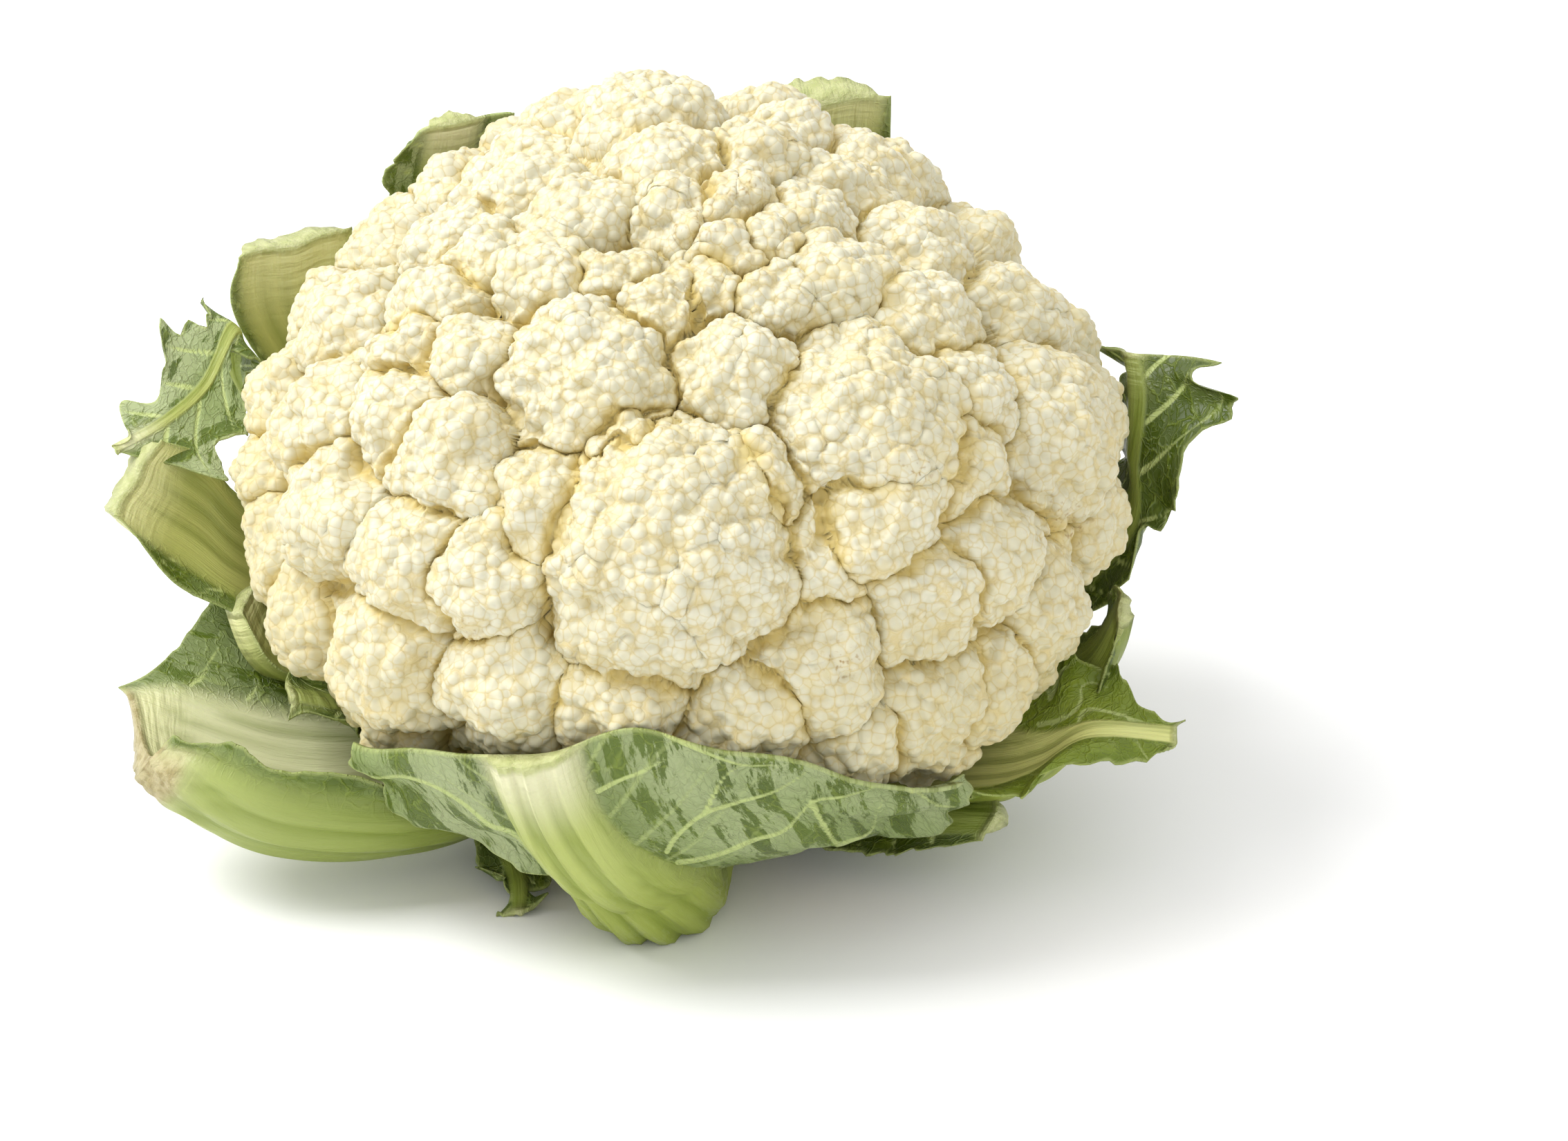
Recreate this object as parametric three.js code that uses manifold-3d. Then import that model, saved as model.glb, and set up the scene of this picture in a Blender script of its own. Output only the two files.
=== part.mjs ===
// A cauliflower as sold: a white curd on its cut stalk, ringed by the outer leaves, whose tops are trimmed off.
// Units are millimetres and +Z is up. The origin is the centre of the stalk's cut face, which rests on the
// table. The head leans forwards, towards -Y.
import * as THREE from "three";
import { mergeVertices } from "three/addons/utils/BufferGeometryUtils.js";
import Module from "manifold-3d";

const wasm = await Module();
wasm.setup();

// Driving dimensions of the head.
const CURD_WIDTH = 170; // across the florets at the widest ring
const DOME_HEIGHT = 58; // from the widest ring up to the crown
const UNDERSIDE_DEPTH = 42; // from the widest ring down to where the curd meets the stalk
const HEAD_HEIGHT = 72; // of the widest ring's centre above the table
const HEAD_TILT = THREE.MathUtils.degToRad(27); // of the head's axis from the vertical
const FLORET_RISE = 6; // of an ordinary floret above the smooth dome
const KNOB_RISE = 2.5; // of a knob above its floret
const KNOB_RADIUS = 6.5;
const KNOB_DENSITY = 0.17; // knobs on a floret for each square millimetre of its radius squared
const KNOB_COVER = 1.25; // how far down from its top knobs cover a floret, in radii
const WARP = 0.02; // of the florets' directions, in radians, which makes them less round
const SHOULDER_DROP = 7; // of the dome at its two back shoulders
const SHOULDER_SPREAD = 0.09;
const STALK_RADIUS = 23;
const GAP = 0.3; // between neighbouring pieces
const BLADE = 1; // thickness of a leaf blade
const CURD_DETAIL = 17; // subdivisions of the curd's surface
const CROWDING = 0.25; // how much closer together the curd's surface is drawn over the dome than underneath
const GOLDEN_ANGLE = Math.PI * (3 - Math.sqrt(5));

// The head's axis and the centre of its widest ring.
const right = new THREE.Vector3(1, 0, 0);
const axis = new THREE.Vector3(0, -Math.sin(HEAD_TILT), Math.cos(HEAD_TILT));
const centre = new THREE.Vector3(0, -HEAD_HEIGHT * Math.tan(HEAD_TILT), HEAD_HEIGHT);
const smoothRadius = CURD_WIDTH / 2 - FLORET_RISE - KNOB_RISE;
const smoothDome = DOME_HEIGHT - FLORET_RISE - KNOB_RISE;

// A unit direction from its share along the head's axis and its turn about it, anticlockwise from the right.
const back = new THREE.Vector3(0, Math.cos(HEAD_TILT), Math.sin(HEAD_TILT));
function headDirection(along, turn) {
  const across = Math.sqrt(Math.max(0, 1 - along * along));
  return new THREE.Vector3()
    .addScaledVector(right, across * Math.cos(turn))
    .addScaledVector(back, across * Math.sin(turn))
    .addScaledVector(axis, along);
}
const shoulders = [38, 142].map((turn) => headDirection(0.44, THREE.MathUtils.degToRad(turn)));

// Places on the front are given as they are seen from a viewpoint before the head: [right, up, towards the
// viewer], where the first two are measured on the sheet through the head's centre that faces the viewer.
const VIEW_ELEVATION = THREE.MathUtils.degToRad(24);
const VIEW_DISTANCE = 820;
const VIEW_RIGHT = 19;
const VIEW_BELOW = 21;
const up = new THREE.Vector3(0, Math.sin(VIEW_ELEVATION), Math.cos(VIEW_ELEVATION));
const towards = new THREE.Vector3(0, -Math.cos(VIEW_ELEVATION), Math.sin(VIEW_ELEVATION));
const eye = centre
  .clone()
  .addScaledVector(towards, VIEW_DISTANCE)
  .addScaledVector(right, VIEW_RIGHT)
  .addScaledVector(up, -VIEW_BELOW);

function seen([x, v, d]) {
  const onSheet = centre.clone().addScaledVector(right, x).addScaledVector(up, v);
  return onSheet.sub(eye).multiplyScalar(1 - d / VIEW_DISTANCE).add(eye);
}

// A seeded random number, so that each build is the same.
function randomFrom(seed) {
  let state = seed;
  return () => {
    state = (state * 1664525 + 1013904223) % 4294967296;
    return state / 4294967296;
  };
}

// The smooth dome's radius from the head's centre along a unit direction. Its back shoulders are a little flat.
function domeRadius(direction) {
  const along = direction.dot(axis);
  const polar = along > 0 ? smoothDome : UNDERSIDE_DEPTH;
  const round = 1 / Math.sqrt((1 - along * along) / smoothRadius ** 2 + along ** 2 / polar ** 2);
  const flatness = (shoulder) => Math.exp((shoulder.dot(direction) - 1) / SHOULDER_SPREAD);
  return round - SHOULDER_DROP * (flatness(shoulders[0]) + flatness(shoulders[1]));
}

// Where a sight line meets the dome, as a unit direction from the head's centre, or where it passes nearest.
function domeDirection(x, v) {
  let best;
  for (let d = 100; d > -90; d -= 1) {
    const p = seen([x, v, d]).sub(centre);
    const distance = p.length();
    const direction = p.divideScalar(distance);
    const depth = distance / domeRadius(direction);
    if (!best || depth < best.depth) best = { depth, direction };
    if (depth < 1) break;
  }
  return best.direction;
}

// The florets that face the viewer: [right, up, radius], with the rise where it isn't the ordinary one.
const frontFlorets = [
  [-2, -23, 24, 12],
  [38, 1, 21, 10],
  [-19, 13, 17, 9],
  [-43, -3, 12, 8],
  [-50, -21, 11.5, 8],
  [-36, -24, 11.5, 7],
  [-54, -39, 13, 8],
  [-66, -12, 15],
  [-68, 5, 13],
  [-69, -31, 12],
  [-26, -11, 11.5],
  [10, 13, 12, 7.5],
  [-9, 0, 9],
  [13, -8, 11],
  [27, -21, 10, 5],
  [-4, 25, 9],
  [30, 31, 11.5, 7],
  [-26, 31, 10.5],
  [-13, 32, 7],
  [-1, 44, 9],
  [10, 46, 8.5],
  [9, 36, 7.5],
  [16, 38, 7],
  [17, 27, 8],
  [6, 29, 7],
  [24, 43, 8],
  [-20, 44, 12],
  [13, 55, 10],
  [-7, 62, 15, 8],
  [21, 59, 10],
  [40, 53, 12],
  [46, 36, 14, 7],
  [58, 41, 10],
  [64, 24, 13],
  [71, 3, 17, 8],
  [36, -14, 11, 8],
  [50, -3, 11, 7],
  [56, -20, 12],
  [67, -28, 11],
  [45, -27, 12],
  [26, -40, 13],
  [45, -48, 13],
  [57, -43, 11],
  [-33, -45, 13],
  [-12, -49, 11],
  [12, -50, 11],
  [31, -54, 9],
  [52, -58, 9],
  [-40, 16, 10],
  [-51, 18, 9],
  [-46, 27, 10],
  [-37, 35, 9],
  [-64, 23, 12],
  [-75, 12, 11],
  [-46, 52, 14],
  [-31, 54, 12],
  [-56, 38, 12],
  [-70, 28, 10],
  [-77, -3, 11],
  [-77, -18, 11],
  [79, 8, 11],
  [78, -12, 12],
];

// Every floret as a ball {direction, at, radius}: those above, then others evenly over the rest of the dome.
function floretBalls() {
  const place = (direction, radius, rise = FLORET_RISE) => ({
    direction,
    radius,
    at: direction.clone().multiplyScalar(domeRadius(direction) + rise - radius),
  });
  const balls = frontFlorets.map(([x, v, radius, rise]) => place(domeDirection(x, v), radius, rise));
  const random = randomFrom(7);
  const spread = 150;
  const lowest = -0.52; // cosine of the angle from the crown to the curd's lower rim
  const clearance = 17;
  for (let i = 0; i < spread; i++) {
    const along = 1 - ((1 - lowest) * (i + 0.5)) / spread;
    const direction = headDirection(along, i * GOLDEN_ANGLE);
    const surface = direction.clone().multiplyScalar(domeRadius(direction));
    const ball = place(direction, 10 + 4 * random());
    const isNear = (other) => {
      const otherSurface = other.direction.clone().multiplyScalar(domeRadius(other.direction));
      return otherSurface.distanceTo(surface) < (clearance + other.radius) / 2;
    };
    if (!balls.some(isNear)) balls.push(ball);
  }
  return balls;
}

// The knobs that cover each floret, spread by the golden angle over the part of the ball that faces out.
function knobBalls(florets) {
  const random = randomFrom(11);
  const knobs = [];
  for (const floret of florets) {
    const count = Math.round(KNOB_DENSITY * floret.radius ** 2);
    const spin = random() * Math.PI * 2;
    const frame = new THREE.Quaternion().setFromUnitVectors(new THREE.Vector3(0, 0, 1), floret.direction);
    const size = Math.min(KNOB_RADIUS, floret.radius * 0.6);
    for (let i = 0; i < count; i++) {
      const along = 1 - (KNOB_COVER * (i + 0.5)) / count;
      const turn = spin + i * GOLDEN_ANGLE;
      const across = Math.sqrt(1 - along * along);
      const out = new THREE.Vector3(across * Math.cos(turn), across * Math.sin(turn), along);
      out.applyQuaternion(frame);
      const radius = size * (0.85 + 0.3 * random());
      knobs.push({ at: floret.at.clone().addScaledVector(out, floret.radius + KNOB_RISE - radius), radius });
    }
  }
  return knobs;
}

// Smooth random waves over the head, each {wave, phase, sway}.
function headWaves() {
  const random = randomFrom(23);
  const count = 10;
  const finest = 28; // radians of a wave for each unit of direction
  const vector = () => new THREE.Vector3(random() - 0.5, random() - 0.5, random() - 0.5).multiplyScalar(2);
  return Array.from({ length: count }, () => ({
    wave: vector().multiplyScalar(finest),
    phase: random() * Math.PI * 2,
    sway: vector().multiplyScalar(Math.sqrt(3 / count)),
  }));
}

function warped(direction, waves) {
  const shifted = direction.clone();
  for (const { wave, phase, sway } of waves) {
    shifted.addScaledVector(sway, WARP * Math.sin(direction.dot(wave) + phase));
  }
  return shifted.normalize();
}

// The curd's radius along a unit direction: the furthest that any ball reaches on it.
function curdRadius(direction, balls) {
  let reach = domeRadius(direction);
  for (const { at, radius } of balls) {
    const along = at.dot(direction);
    const inside = radius * radius - at.lengthSq() + along * along;
    if (inside > 0 && along + Math.sqrt(inside) > reach) reach = along + Math.sqrt(inside);
  }
  return reach;
}

function toSolid(geometry) {
  const bare = new THREE.BufferGeometry();
  bare.setAttribute("position", geometry.getAttribute("position"));
  if (geometry.index) bare.setIndex(geometry.index);
  const merged = mergeVertices(bare, 1e-4);
  return new wasm.Manifold(
    new wasm.Mesh({
      numProp: 3,
      vertProperties: new Float32Array(merged.attributes.position.array),
      triVerts: new Uint32Array(merged.index.array),
    }),
  );
}

function toGeometry(solid) {
  const { vertProperties, triVerts, numProp } = solid.getMesh();
  const positions = new Float32Array((vertProperties.length / numProp) * 3);
  for (let i = 0; i < positions.length / 3; i++) {
    positions.set(vertProperties.subarray(i * numProp, i * numProp + 3), i * 3);
  }
  const geometry = new THREE.BufferGeometry();
  geometry.setAttribute("position", new THREE.BufferAttribute(positions, 3));
  geometry.setIndex(new THREE.BufferAttribute(new Uint32Array(triVerts), 1));
  geometry.computeVertexNormals();
  return geometry;
}

// The curd as one closed surface.
function curdSolid(balls, grow = 0) {
  const waves = headWaves();
  const geometry = new THREE.IcosahedronGeometry(1, CURD_DETAIL);
  const position = geometry.getAttribute("position");
  const p = new THREE.Vector3();
  for (let i = 0; i < position.count; i++) {
    p.fromBufferAttribute(position, i).normalize();
    const angle = Math.acos(THREE.MathUtils.clamp(p.z, -1, 1));
    const turn = Math.atan2(p.y, p.x);
    const direction = headDirection(Math.cos(angle - CROWDING * Math.sin(angle)), turn);
    const radius = curdRadius(warped(direction, waves), balls) + grow;
    p.copy(direction).multiplyScalar(radius).add(centre);
    position.setXYZ(i, p.x, p.y, p.z);
  }
  return toSolid(geometry);
}

// The stalk: a stout stem along the head's axis, which the table's level cuts off, with its widths along it.
function stalkSolid() {
  const length = HEAD_HEIGHT / Math.cos(HEAD_TILT);
  const sides = 20;
  const profile = [
    [0, -length - 20],
    [STALK_RADIUS - 2, -length - 20],
    [STALK_RADIUS - 1, -length + 6],
    [STALK_RADIUS + 1, -length + 22],
    [STALK_RADIUS + 5, -UNDERSIDE_DEPTH + 4],
    [0, -UNDERSIDE_DEPTH + 12],
  ];
  const geometry = new THREE.LatheGeometry(profile.map(([r, a]) => new THREE.Vector2(r, a)), sides);
  geometry.rotateX(Math.PI / 2);
  const frame = new THREE.Quaternion().setFromUnitVectors(new THREE.Vector3(0, 0, 1), axis);
  geometry.applyQuaternion(frame);
  geometry.translate(centre.x, centre.y, centre.z);
  return toSolid(geometry);
}

// Everything above the table, as a large block.
function aboveTable() {
  const side = 600;
  const geometry = new THREE.BoxGeometry(side, side, side);
  geometry.translate(0, 0, side / 2);
  return toSolid(geometry);
}

// A leaf is a net of places: each row runs across the leaf, from one margin over the rib to the other, and the
// rows follow each other from the root to the cut end. A row is [margin, rib, margin] or [margin, between, rib,
// between, margin]. half and thick are the rib's half width and thickness at each row, wave is how far the
// blade undulates, ragged is how deep the margins are cut, and crests are where the cut end rises: [place
// across, width, rise].
const leaves = {
  leaf_front: {
    rows: [
      [[-9, -54, -34], [0, -55, -33], [9, -54, -34]],
      [[-13, -60, -17], [-6, -62, -14], [1, -63, -13], [8, -62, -14], [14, -60, -17]],
      [[-17, -70, 2], [-9, -73, 5], [-2, -74, 6], [6, -73, 5], [13, -69, 2]],
      [[-20, -79, 17], [-13, -81, 21], [-5, -81, 22], [3, -79, 20], [9, -75, 14]],
      [[-29, -77, 27], [-21, -76, 34], [-13, -74, 38], [4, -70, 40], [28, -69, 30]],
      [[-47, -70, 22], [-35, -68, 37], [-19, -67, 46], [14, -65, 50], [50, -70, 24]],
      [[-60, -62, 24], [-44, -60, 42], [-24, -60, 53], [14, -60, 57], [55, -63, 26]],
      [[-62, -52, 30], [-47, -53, 46], [-27, -53, 58], [12, -52, 60], [51, -56, 30]],
    ],
    half: [10, 12, 14, 14, 11, 9, 8, 8],
    thick: [7, 8, 9, 10, 9, 7, 6, 5],
    wave: 1.2,
    ragged: 3,
    crests: [[17, 10, 4.5], [-24, 10, 2], [45, 8, 1.5]],
  },
  leaf_left_low: {
    rows: [
      [[-22, -44, -36], [-20, -46, -34], [-14, -50, -33], [-10, -52, -32], [-6, -53, -32]],
      [[-50, -28, -32], [-38, -45, -24], [-34, -58, -14], [-30, -61, -8], [-24, -60, -2]],
      [[-70, -14, -26], [-58, -46, -10], [-55, -64, 2], [-52, -67, 11], [-46, -62, 20]],
      [[-84, -17, -16], [-76, -47, -2], [-76, -64, 9], [-75, -66, 20], [-72, -58, 28]],
      [[-94, -34, -6], [-93, -45, 2], [-93, -58, 11], [-91, -60, 20], [-87, -53, 27]],
      [[-106, -42, 0], [-104, -46, 4], [-102, -53, 10], [-100, -56, 16], [-96, -52, 22]],
    ],
    half: [9, 14, 18, 19, 17, 12],
    thick: [7, 8, 8, 8, 7, 5],
    wave: 0.8,
    ragged: 1,
  },
  leaf_left: {
    rows: [
      [[-24, -28, -38], [-24, -33, -36], [-22, -38, -33]],
      [[-54, -25, -36], [-52, -33, -34], [-50, -41, -26]],
      [[-80, -10, -16], [-80, -20, -14], [-79, -31, -4]],
      [[-89, 0, -8], [-91, -11, -9], [-94, -24, 1]],
      [[-98, 3.5, 0], [-103, -4, -1], [-107, -10.5, 6]],
    ],
    half: [7, 9, 10, 11, 10],
    thick: [6, 7, 7, 7, 6],
    wave: 0.5,
    ragged: 0,
  },
  leaf_left_blade: {
    rows: [
      [[-20, -20, -45], [-23, -24, -43], [-25, -29, -41]],
      [[-54, -6, -46], [-58, -13, -41], [-60, -21, -38]],
      [[-84, 22, -32], [-80, 14, -28], [-78, 6, -22]],
      [[-90, 30, -24], [-84, 25, -20], [-80, 18, -16]],
      [[-97, 27, -16], [-90, 14, -12], [-82, 4, -8]],
      [[-103, 14, -10], [-98, 7, -6], [-85, -5, -2]],
      [[-108, 3, -4], [-107, 2, -3], [-104, 0, -1]],
    ],
    half: [5, 5, 3, 1.8, 1.2, 1, 1],
    thick: [5, 5, 3.5, 2.5, 2, 1.5, 1.2],
    wave: 2,
    ragged: 4,
  },
  leaf_upper_left: {
    rows: [
      [[-22, -25, -45], [-20, -22, -47], [-16, -19, -49]],
      [[-56, -6, -48], [-49, -2, -52], [-40, 4, -56]],
      [[-82, 22, -34], [-70, 24, -40], [-58, 27, -46]],
      [[-84, 38, -26], [-73, 40, -33], [-62, 43.5, -38]],
    ],
    half: [7, 9, 11, 11],
    thick: [6, 7, 7, 7],
    wave: 0.5,
    ragged: 0,
  },
  leaf_back_left: {
    rows: [
      [[-16, -18, -50], [-12, -16, -51], [-8, -14, -53]],
      [[-40, 6, -58], [-31, 12, -63], [-22, 15, -66]],
      [[-57, 42, -50], [-44, 42, -56], [-26, 46, -62]],
      [[-53, 60, -36], [-43, 63, -40], [-29, 64, -45]],
    ],
    half: [6, 8, 6, 5],
    thick: [6, 6, 5, 4],
    wave: 1.5,
    ragged: 2,
  },
  leaf_back_right: {
    rows: [
      [[2, -14, -54], [6, -13, -53], [11, -15, -52]],
      [[4, 13, -66], [15, 16, -68], [27, 12, -68]],
      [[9, 47, -62], [23, 49, -63], [38, 46, -66]],
      [[14, 64, -44], [26, 66.5, -47], [39, 68, -49]],
    ],
    half: [7, 10, 12, 12],
    thick: [6, 7, 8, 8],
    wave: 0.5,
    ragged: 0,
  },
  leaf_back_far_right: {
    rows: [
      [[14, -17, -51], [18, -19, -49], [22, -22, -46]],
      [[36, 2, -64], [44, -4, -58], [51, -11, -51]],
      [[54, 26, -62], [64, 20, -55], [71, 13, -47]],
      [[56, 33, -57], [65, 25, -51], [71, 17, -45]],
    ],
    half: [6, 9, 10, 9],
    thick: [6, 6, 6, 5],
    wave: 0.5,
    ragged: 0,
  },
  leaf_right: {
    rows: [
      [[26, -34, -34], [23, -30, -39], [20, -25, -43]],
      [[64, -36, -22], [60, -27, -31], [56, -16, -40]],
      [[84, -24, -8], [82, -12, -15], [78, 4, -30]],
      [[94, -8, 0], [84, 1, -12], [79, 10, -26]],
      [[104, 9, 2], [85, 12, -13], [79, 15, -24]],
      [[101, 18, -4], [84, 20, -16], [79, 21, -24]],
    ],
    half: [6, 6, 5, 3, 2.5, 2],
    thick: [6, 6, 5, 4, 4, 3],
    wave: 1.8,
    ragged: 5,
  },
  leaf_right_low: {
    rows: [
      [[23, -34, -38], [21, -38, -35], [20, -43, -32]],
      [[54, -36, -30], [54, -44, -22], [54, -51, -13]],
      [[73, -31, -14], [74, -40, -6], [76, -47, 2]],
      [[82, -22, -5], [82, -28, 0], [81, -35, 3]],
    ],
    half: [6, 7, 6, 4],
    thick: [5, 6, 5, 3],
    wave: 1,
    ragged: 3,
  },
  leaf_front_right: {
    rows: [
      [[22, -40, -38], [20, -43, -36], [17, -46, -33], [14, -48, -31], [12, -50, -30]],
      [[46, -44, -26], [42, -52, -20], [37, -57, -12], [33, -60, -6], [30, -61, 0]],
      [[62, -36, -12], [60, -48, -4], [57, -58, 4], [53, -62, 12], [48, -63, 20]],
      [[72, -32, -6], [70, -44, 0], [67, -56, 9], [63, -61, 18], [58, -64, 26]],
      [[80, -36, 0], [79, -44, 2], [77, -51, 10], [74, -55, 16], [70, -62, 20]],
      [[93, -47, 4], [93, -49, 5], [93, -52, 7], [93, -54, 9], [92, -56, 11]],
    ],
    half: [7, 9, 9, 6, 3, 2],
    thick: [6, 7, 6, 4, 2.5, 1.5],
    wave: 1.8,
    ragged: 3.6,
  },
  leaf_front_low: {
    rows: [
      [[16, -49, -37], [12, -52, -34], [8, -54, -32]],
      [[33, -58, -18], [28, -62, -12], [20, -71, -2]],
      [[48, -62, 0], [45, -66, 5], [36, -75, 8]],
      [[59, -64, 10], [59, -67, 13], [54, -73, 12]],
    ],
    half: [5, 6, 5, 4],
    thick: [5, 5, 5, 5],
    wave: 0.8,
    ragged: 2,
  },
  leaf_under: {
    rows: [
      [[-13, -50, -36], [-11, -52, -35], [-9, -53, -34]],
      [[-30, -60, -16], [-24, -63, -14], [-18, -66, -10]],
      [[-42, -68, -2], [-32, -72, 2], [-22, -75, 4]],
      [[-38, -78, 8], [-31, -79, 10], [-24, -81, 10]],
      [[-35, -85, 14], [-31, -85.5, 15], [-26, -83, 14]],
    ],
    half: [4, 4, 3, 2, 1],
    thick: [4, 4, 3, 2, 1],
    wave: 1.5,
    ragged: 3,
  },
  leaf_inner_left: {
    rows: [
      [[-20, -36, -40], [-17, -39, -38], [-14, -42, -36]],
      [[-50, -40, -20], [-46, -48, -12], [-42, -54, -4]],
      [[-66, -38, -4], [-62, -46, 5], [-56, -51, 12]],
      [[-75, -39, 2], [-74, -44, 8], [-72, -50, 12]],
    ],
    half: [4, 4, 3, 2],
    thick: [4, 4, 3, 2],
    wave: 1.5,
    ragged: 3,
  },
  leaf_inner_stub: {
    rows: [
      [[-22, -33, -36], [-21, -35, -34], [-20, -37, -33]],
      [[-54, -36, -24], [-54, -40, -20], [-53, -44, -16]],
      [[-74, -33, -8], [-75, -37, -4], [-75, -40, 0]],
      [[-80, -23, -4], [-82, -26, -2], [-83, -29, 2]],
    ],
    half: [4, 5, 5, 5],
    thick: [4, 5, 5, 5],
    wave: 0.2,
    ragged: 0,
  },
};

const MARGIN_CUTS = 2.4; // radians of the margins' cuts from one step along a leaf to the next
const UNDULATION = 4.4; // radians of the blade's waves from one row to the next
const ROUNDNESS = 0.08; // how far a leaf is bent out between its rib and margin, as a share of that width
const RIB_SHARE = 0.9; // the most that a rib takes of the width from its middle to the margin
const NECK = -0.6; // cosine of the angle from the crown beyond which the underside has no florets

// A smooth value between the items of a list, at a share of its length: a number or a place.
function spline(list, share) {
  const last = list.length - 1;
  const i = Math.min(Math.floor(share * last), last - 1);
  const t = share * last - i;
  const at = (k) => list[THREE.MathUtils.clamp(k, 0, last)];
  const p = [at(i - 1), at(i), at(i + 1), at(i + 2)];
  const weights = [
    -0.5 * t + t * t - 0.5 * t ** 3,
    1 - 2.5 * t * t + 1.5 * t ** 3,
    0.5 * t + 2 * t * t - 1.5 * t ** 3,
    -0.5 * t * t + 0.5 * t ** 3,
  ];
  if (typeof p[0] === "number") return weights.reduce((sum, w, k) => sum + w * p[k], 0);
  return weights.reduce((sum, w, k) => sum.addScaledVector(p[k], w), new THREE.Vector3());
}

// A row of three places gets the two between them, set outwards to make the leaf a little round.
function fullRow(row) {
  const places = row.map(seen);
  if (places.length === 5) return places;
  const between = (a, b) => {
    const middle = a.clone().add(b).multiplyScalar(0.5);
    const out = middle.clone().sub(centre).normalize();
    return middle.addScaledVector(out, ROUNDNESS * a.distanceTo(b));
  };
  const [a, rib, b] = places;
  return [a, between(a, rib), rib, between(rib, b), b];
}

// How far out a leaf has to stay to clear the florets.
function clearOfCurd(place, gap) {
  const out = place.clone().sub(centre);
  const distance = out.length();
  const direction = out.divideScalar(distance);
  const relief = direction.dot(axis) > NECK ? FLORET_RISE + KNOB_RISE : 0;
  const nearest = domeRadius(direction) + relief + gap;
  return distance < nearest ? centre.clone().addScaledVector(direction, nearest) : place;
}

// The curve through a list of places: the place at a distance from its middle, and its lengths on both sides.
function curveThrough(places) {
  const steps = 32;
  const fine = Array.from({ length: steps + 1 }, (_, k) => spline(places, k / steps));
  const run = [0];
  for (let k = 1; k <= steps; k++) run.push(run[k - 1] + fine[k].distanceTo(fine[k - 1]));
  const before = run[steps / 2];
  const placeAt = (s) => {
    const target = THREE.MathUtils.clamp(before + s, 0, run[steps]);
    let k = 1;
    while (k < steps && run[k] < target) k++;
    const t = (target - run[k - 1]) / Math.max(run[k] - run[k - 1], 1e-6);
    return fine[k - 1].clone().lerp(fine[k], t);
  };
  return { placeAt, before, after: run[steps] - before };
}

// A leaf as one closed solid: its inner face follows the net, and its outer face stands off by the thickness.
function leafSolid({ rows, half, thick, wave, ragged, crests = [] }, grow = 0) {
  const net = rows.map(fullRow);
  const lengthwise = rows.length * 2;
  const ribSteps = [-1, -0.55, 0, 0.55, 1];
  const bladeSteps = rows.length > 4 ? [1, 0.66, 0.33] : [1, 0.5];
  const columns = [0, 1, 2, 3, 4].map((k) => net.map((row) => row[k]));
  const inner = [];
  const thickness = [];
  let offsets;
  for (let i = 0; i <= lengthwise; i++) {
    const share = i / lengthwise;
    const { placeAt, before, after } = curveThrough(columns.map((column) => spline(column, share)));
    const low = Math.min(spline(half, share), before * RIB_SHARE);
    const high = Math.min(spline(half, share), after * RIB_SHARE);
    const cut = (phase) => ragged * (0.5 + 0.5 * Math.sin(MARGIN_CUTS * i + phase));
    const marginA = Math.max(before - cut(0), low);
    const marginB = Math.max(after - cut(2), high);
    offsets = [
      ...bladeSteps.map((t) => -low - (marginA - low) * t),
      ...ribSteps.map((t) => (t < 0 ? t * low : t * high)),
      ...[...bladeSteps].reverse().map((t) => high + (marginB - high) * t),
    ];
    const undulate = wave * Math.sin(share * rows.length * UNDULATION);
    inner.push(
      offsets.map((s) => {
        const [rib, margin, side] = s < 0 ? [low, marginA, 1] : [high, marginB, -1];
        const out = Math.max(0, (Math.abs(s) - rib) / Math.max(margin - rib, 1));
        const place = clearOfCurd(placeAt(s), 1);
        const direction = place.clone().sub(centre).normalize();
        return place.addScaledVector(direction, side * out ** 1.5 * undulate);
      }),
    );
    const ribThickness = Math.max(spline(thick, share), BLADE) - BLADE;
    thickness.push(
      offsets.map((s) => {
        const t = Math.min(s < 0 ? -s / low : s / high, 1);
        return BLADE + ribThickness * Math.sqrt(1 - t * t);
      }),
    );
  }
  raiseEnd(inner, offsets, crests);
  return shell(inner, thickness, grow);
}

// Draws the last rows of a net onwards where the cut end has a crest.
function raiseEnd(net, offsets, crests) {
  const last = net.length - 1;
  const start = 0.8; // share of the length where the crests begin
  const onwards = net[last].map((place, k) => place.clone().sub(net[last - 1][k]).normalize());
  net.forEach((row, i) => {
    const rise = THREE.MathUtils.smoothstep(i / last, start, 1);
    row.forEach((place, k) => {
      for (const [at, width, lift] of crests) {
        place.addScaledVector(onwards[k], rise * lift * Math.exp(-(((offsets[k] - at) / width) ** 2)));
      }
    });
  });
}

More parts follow.
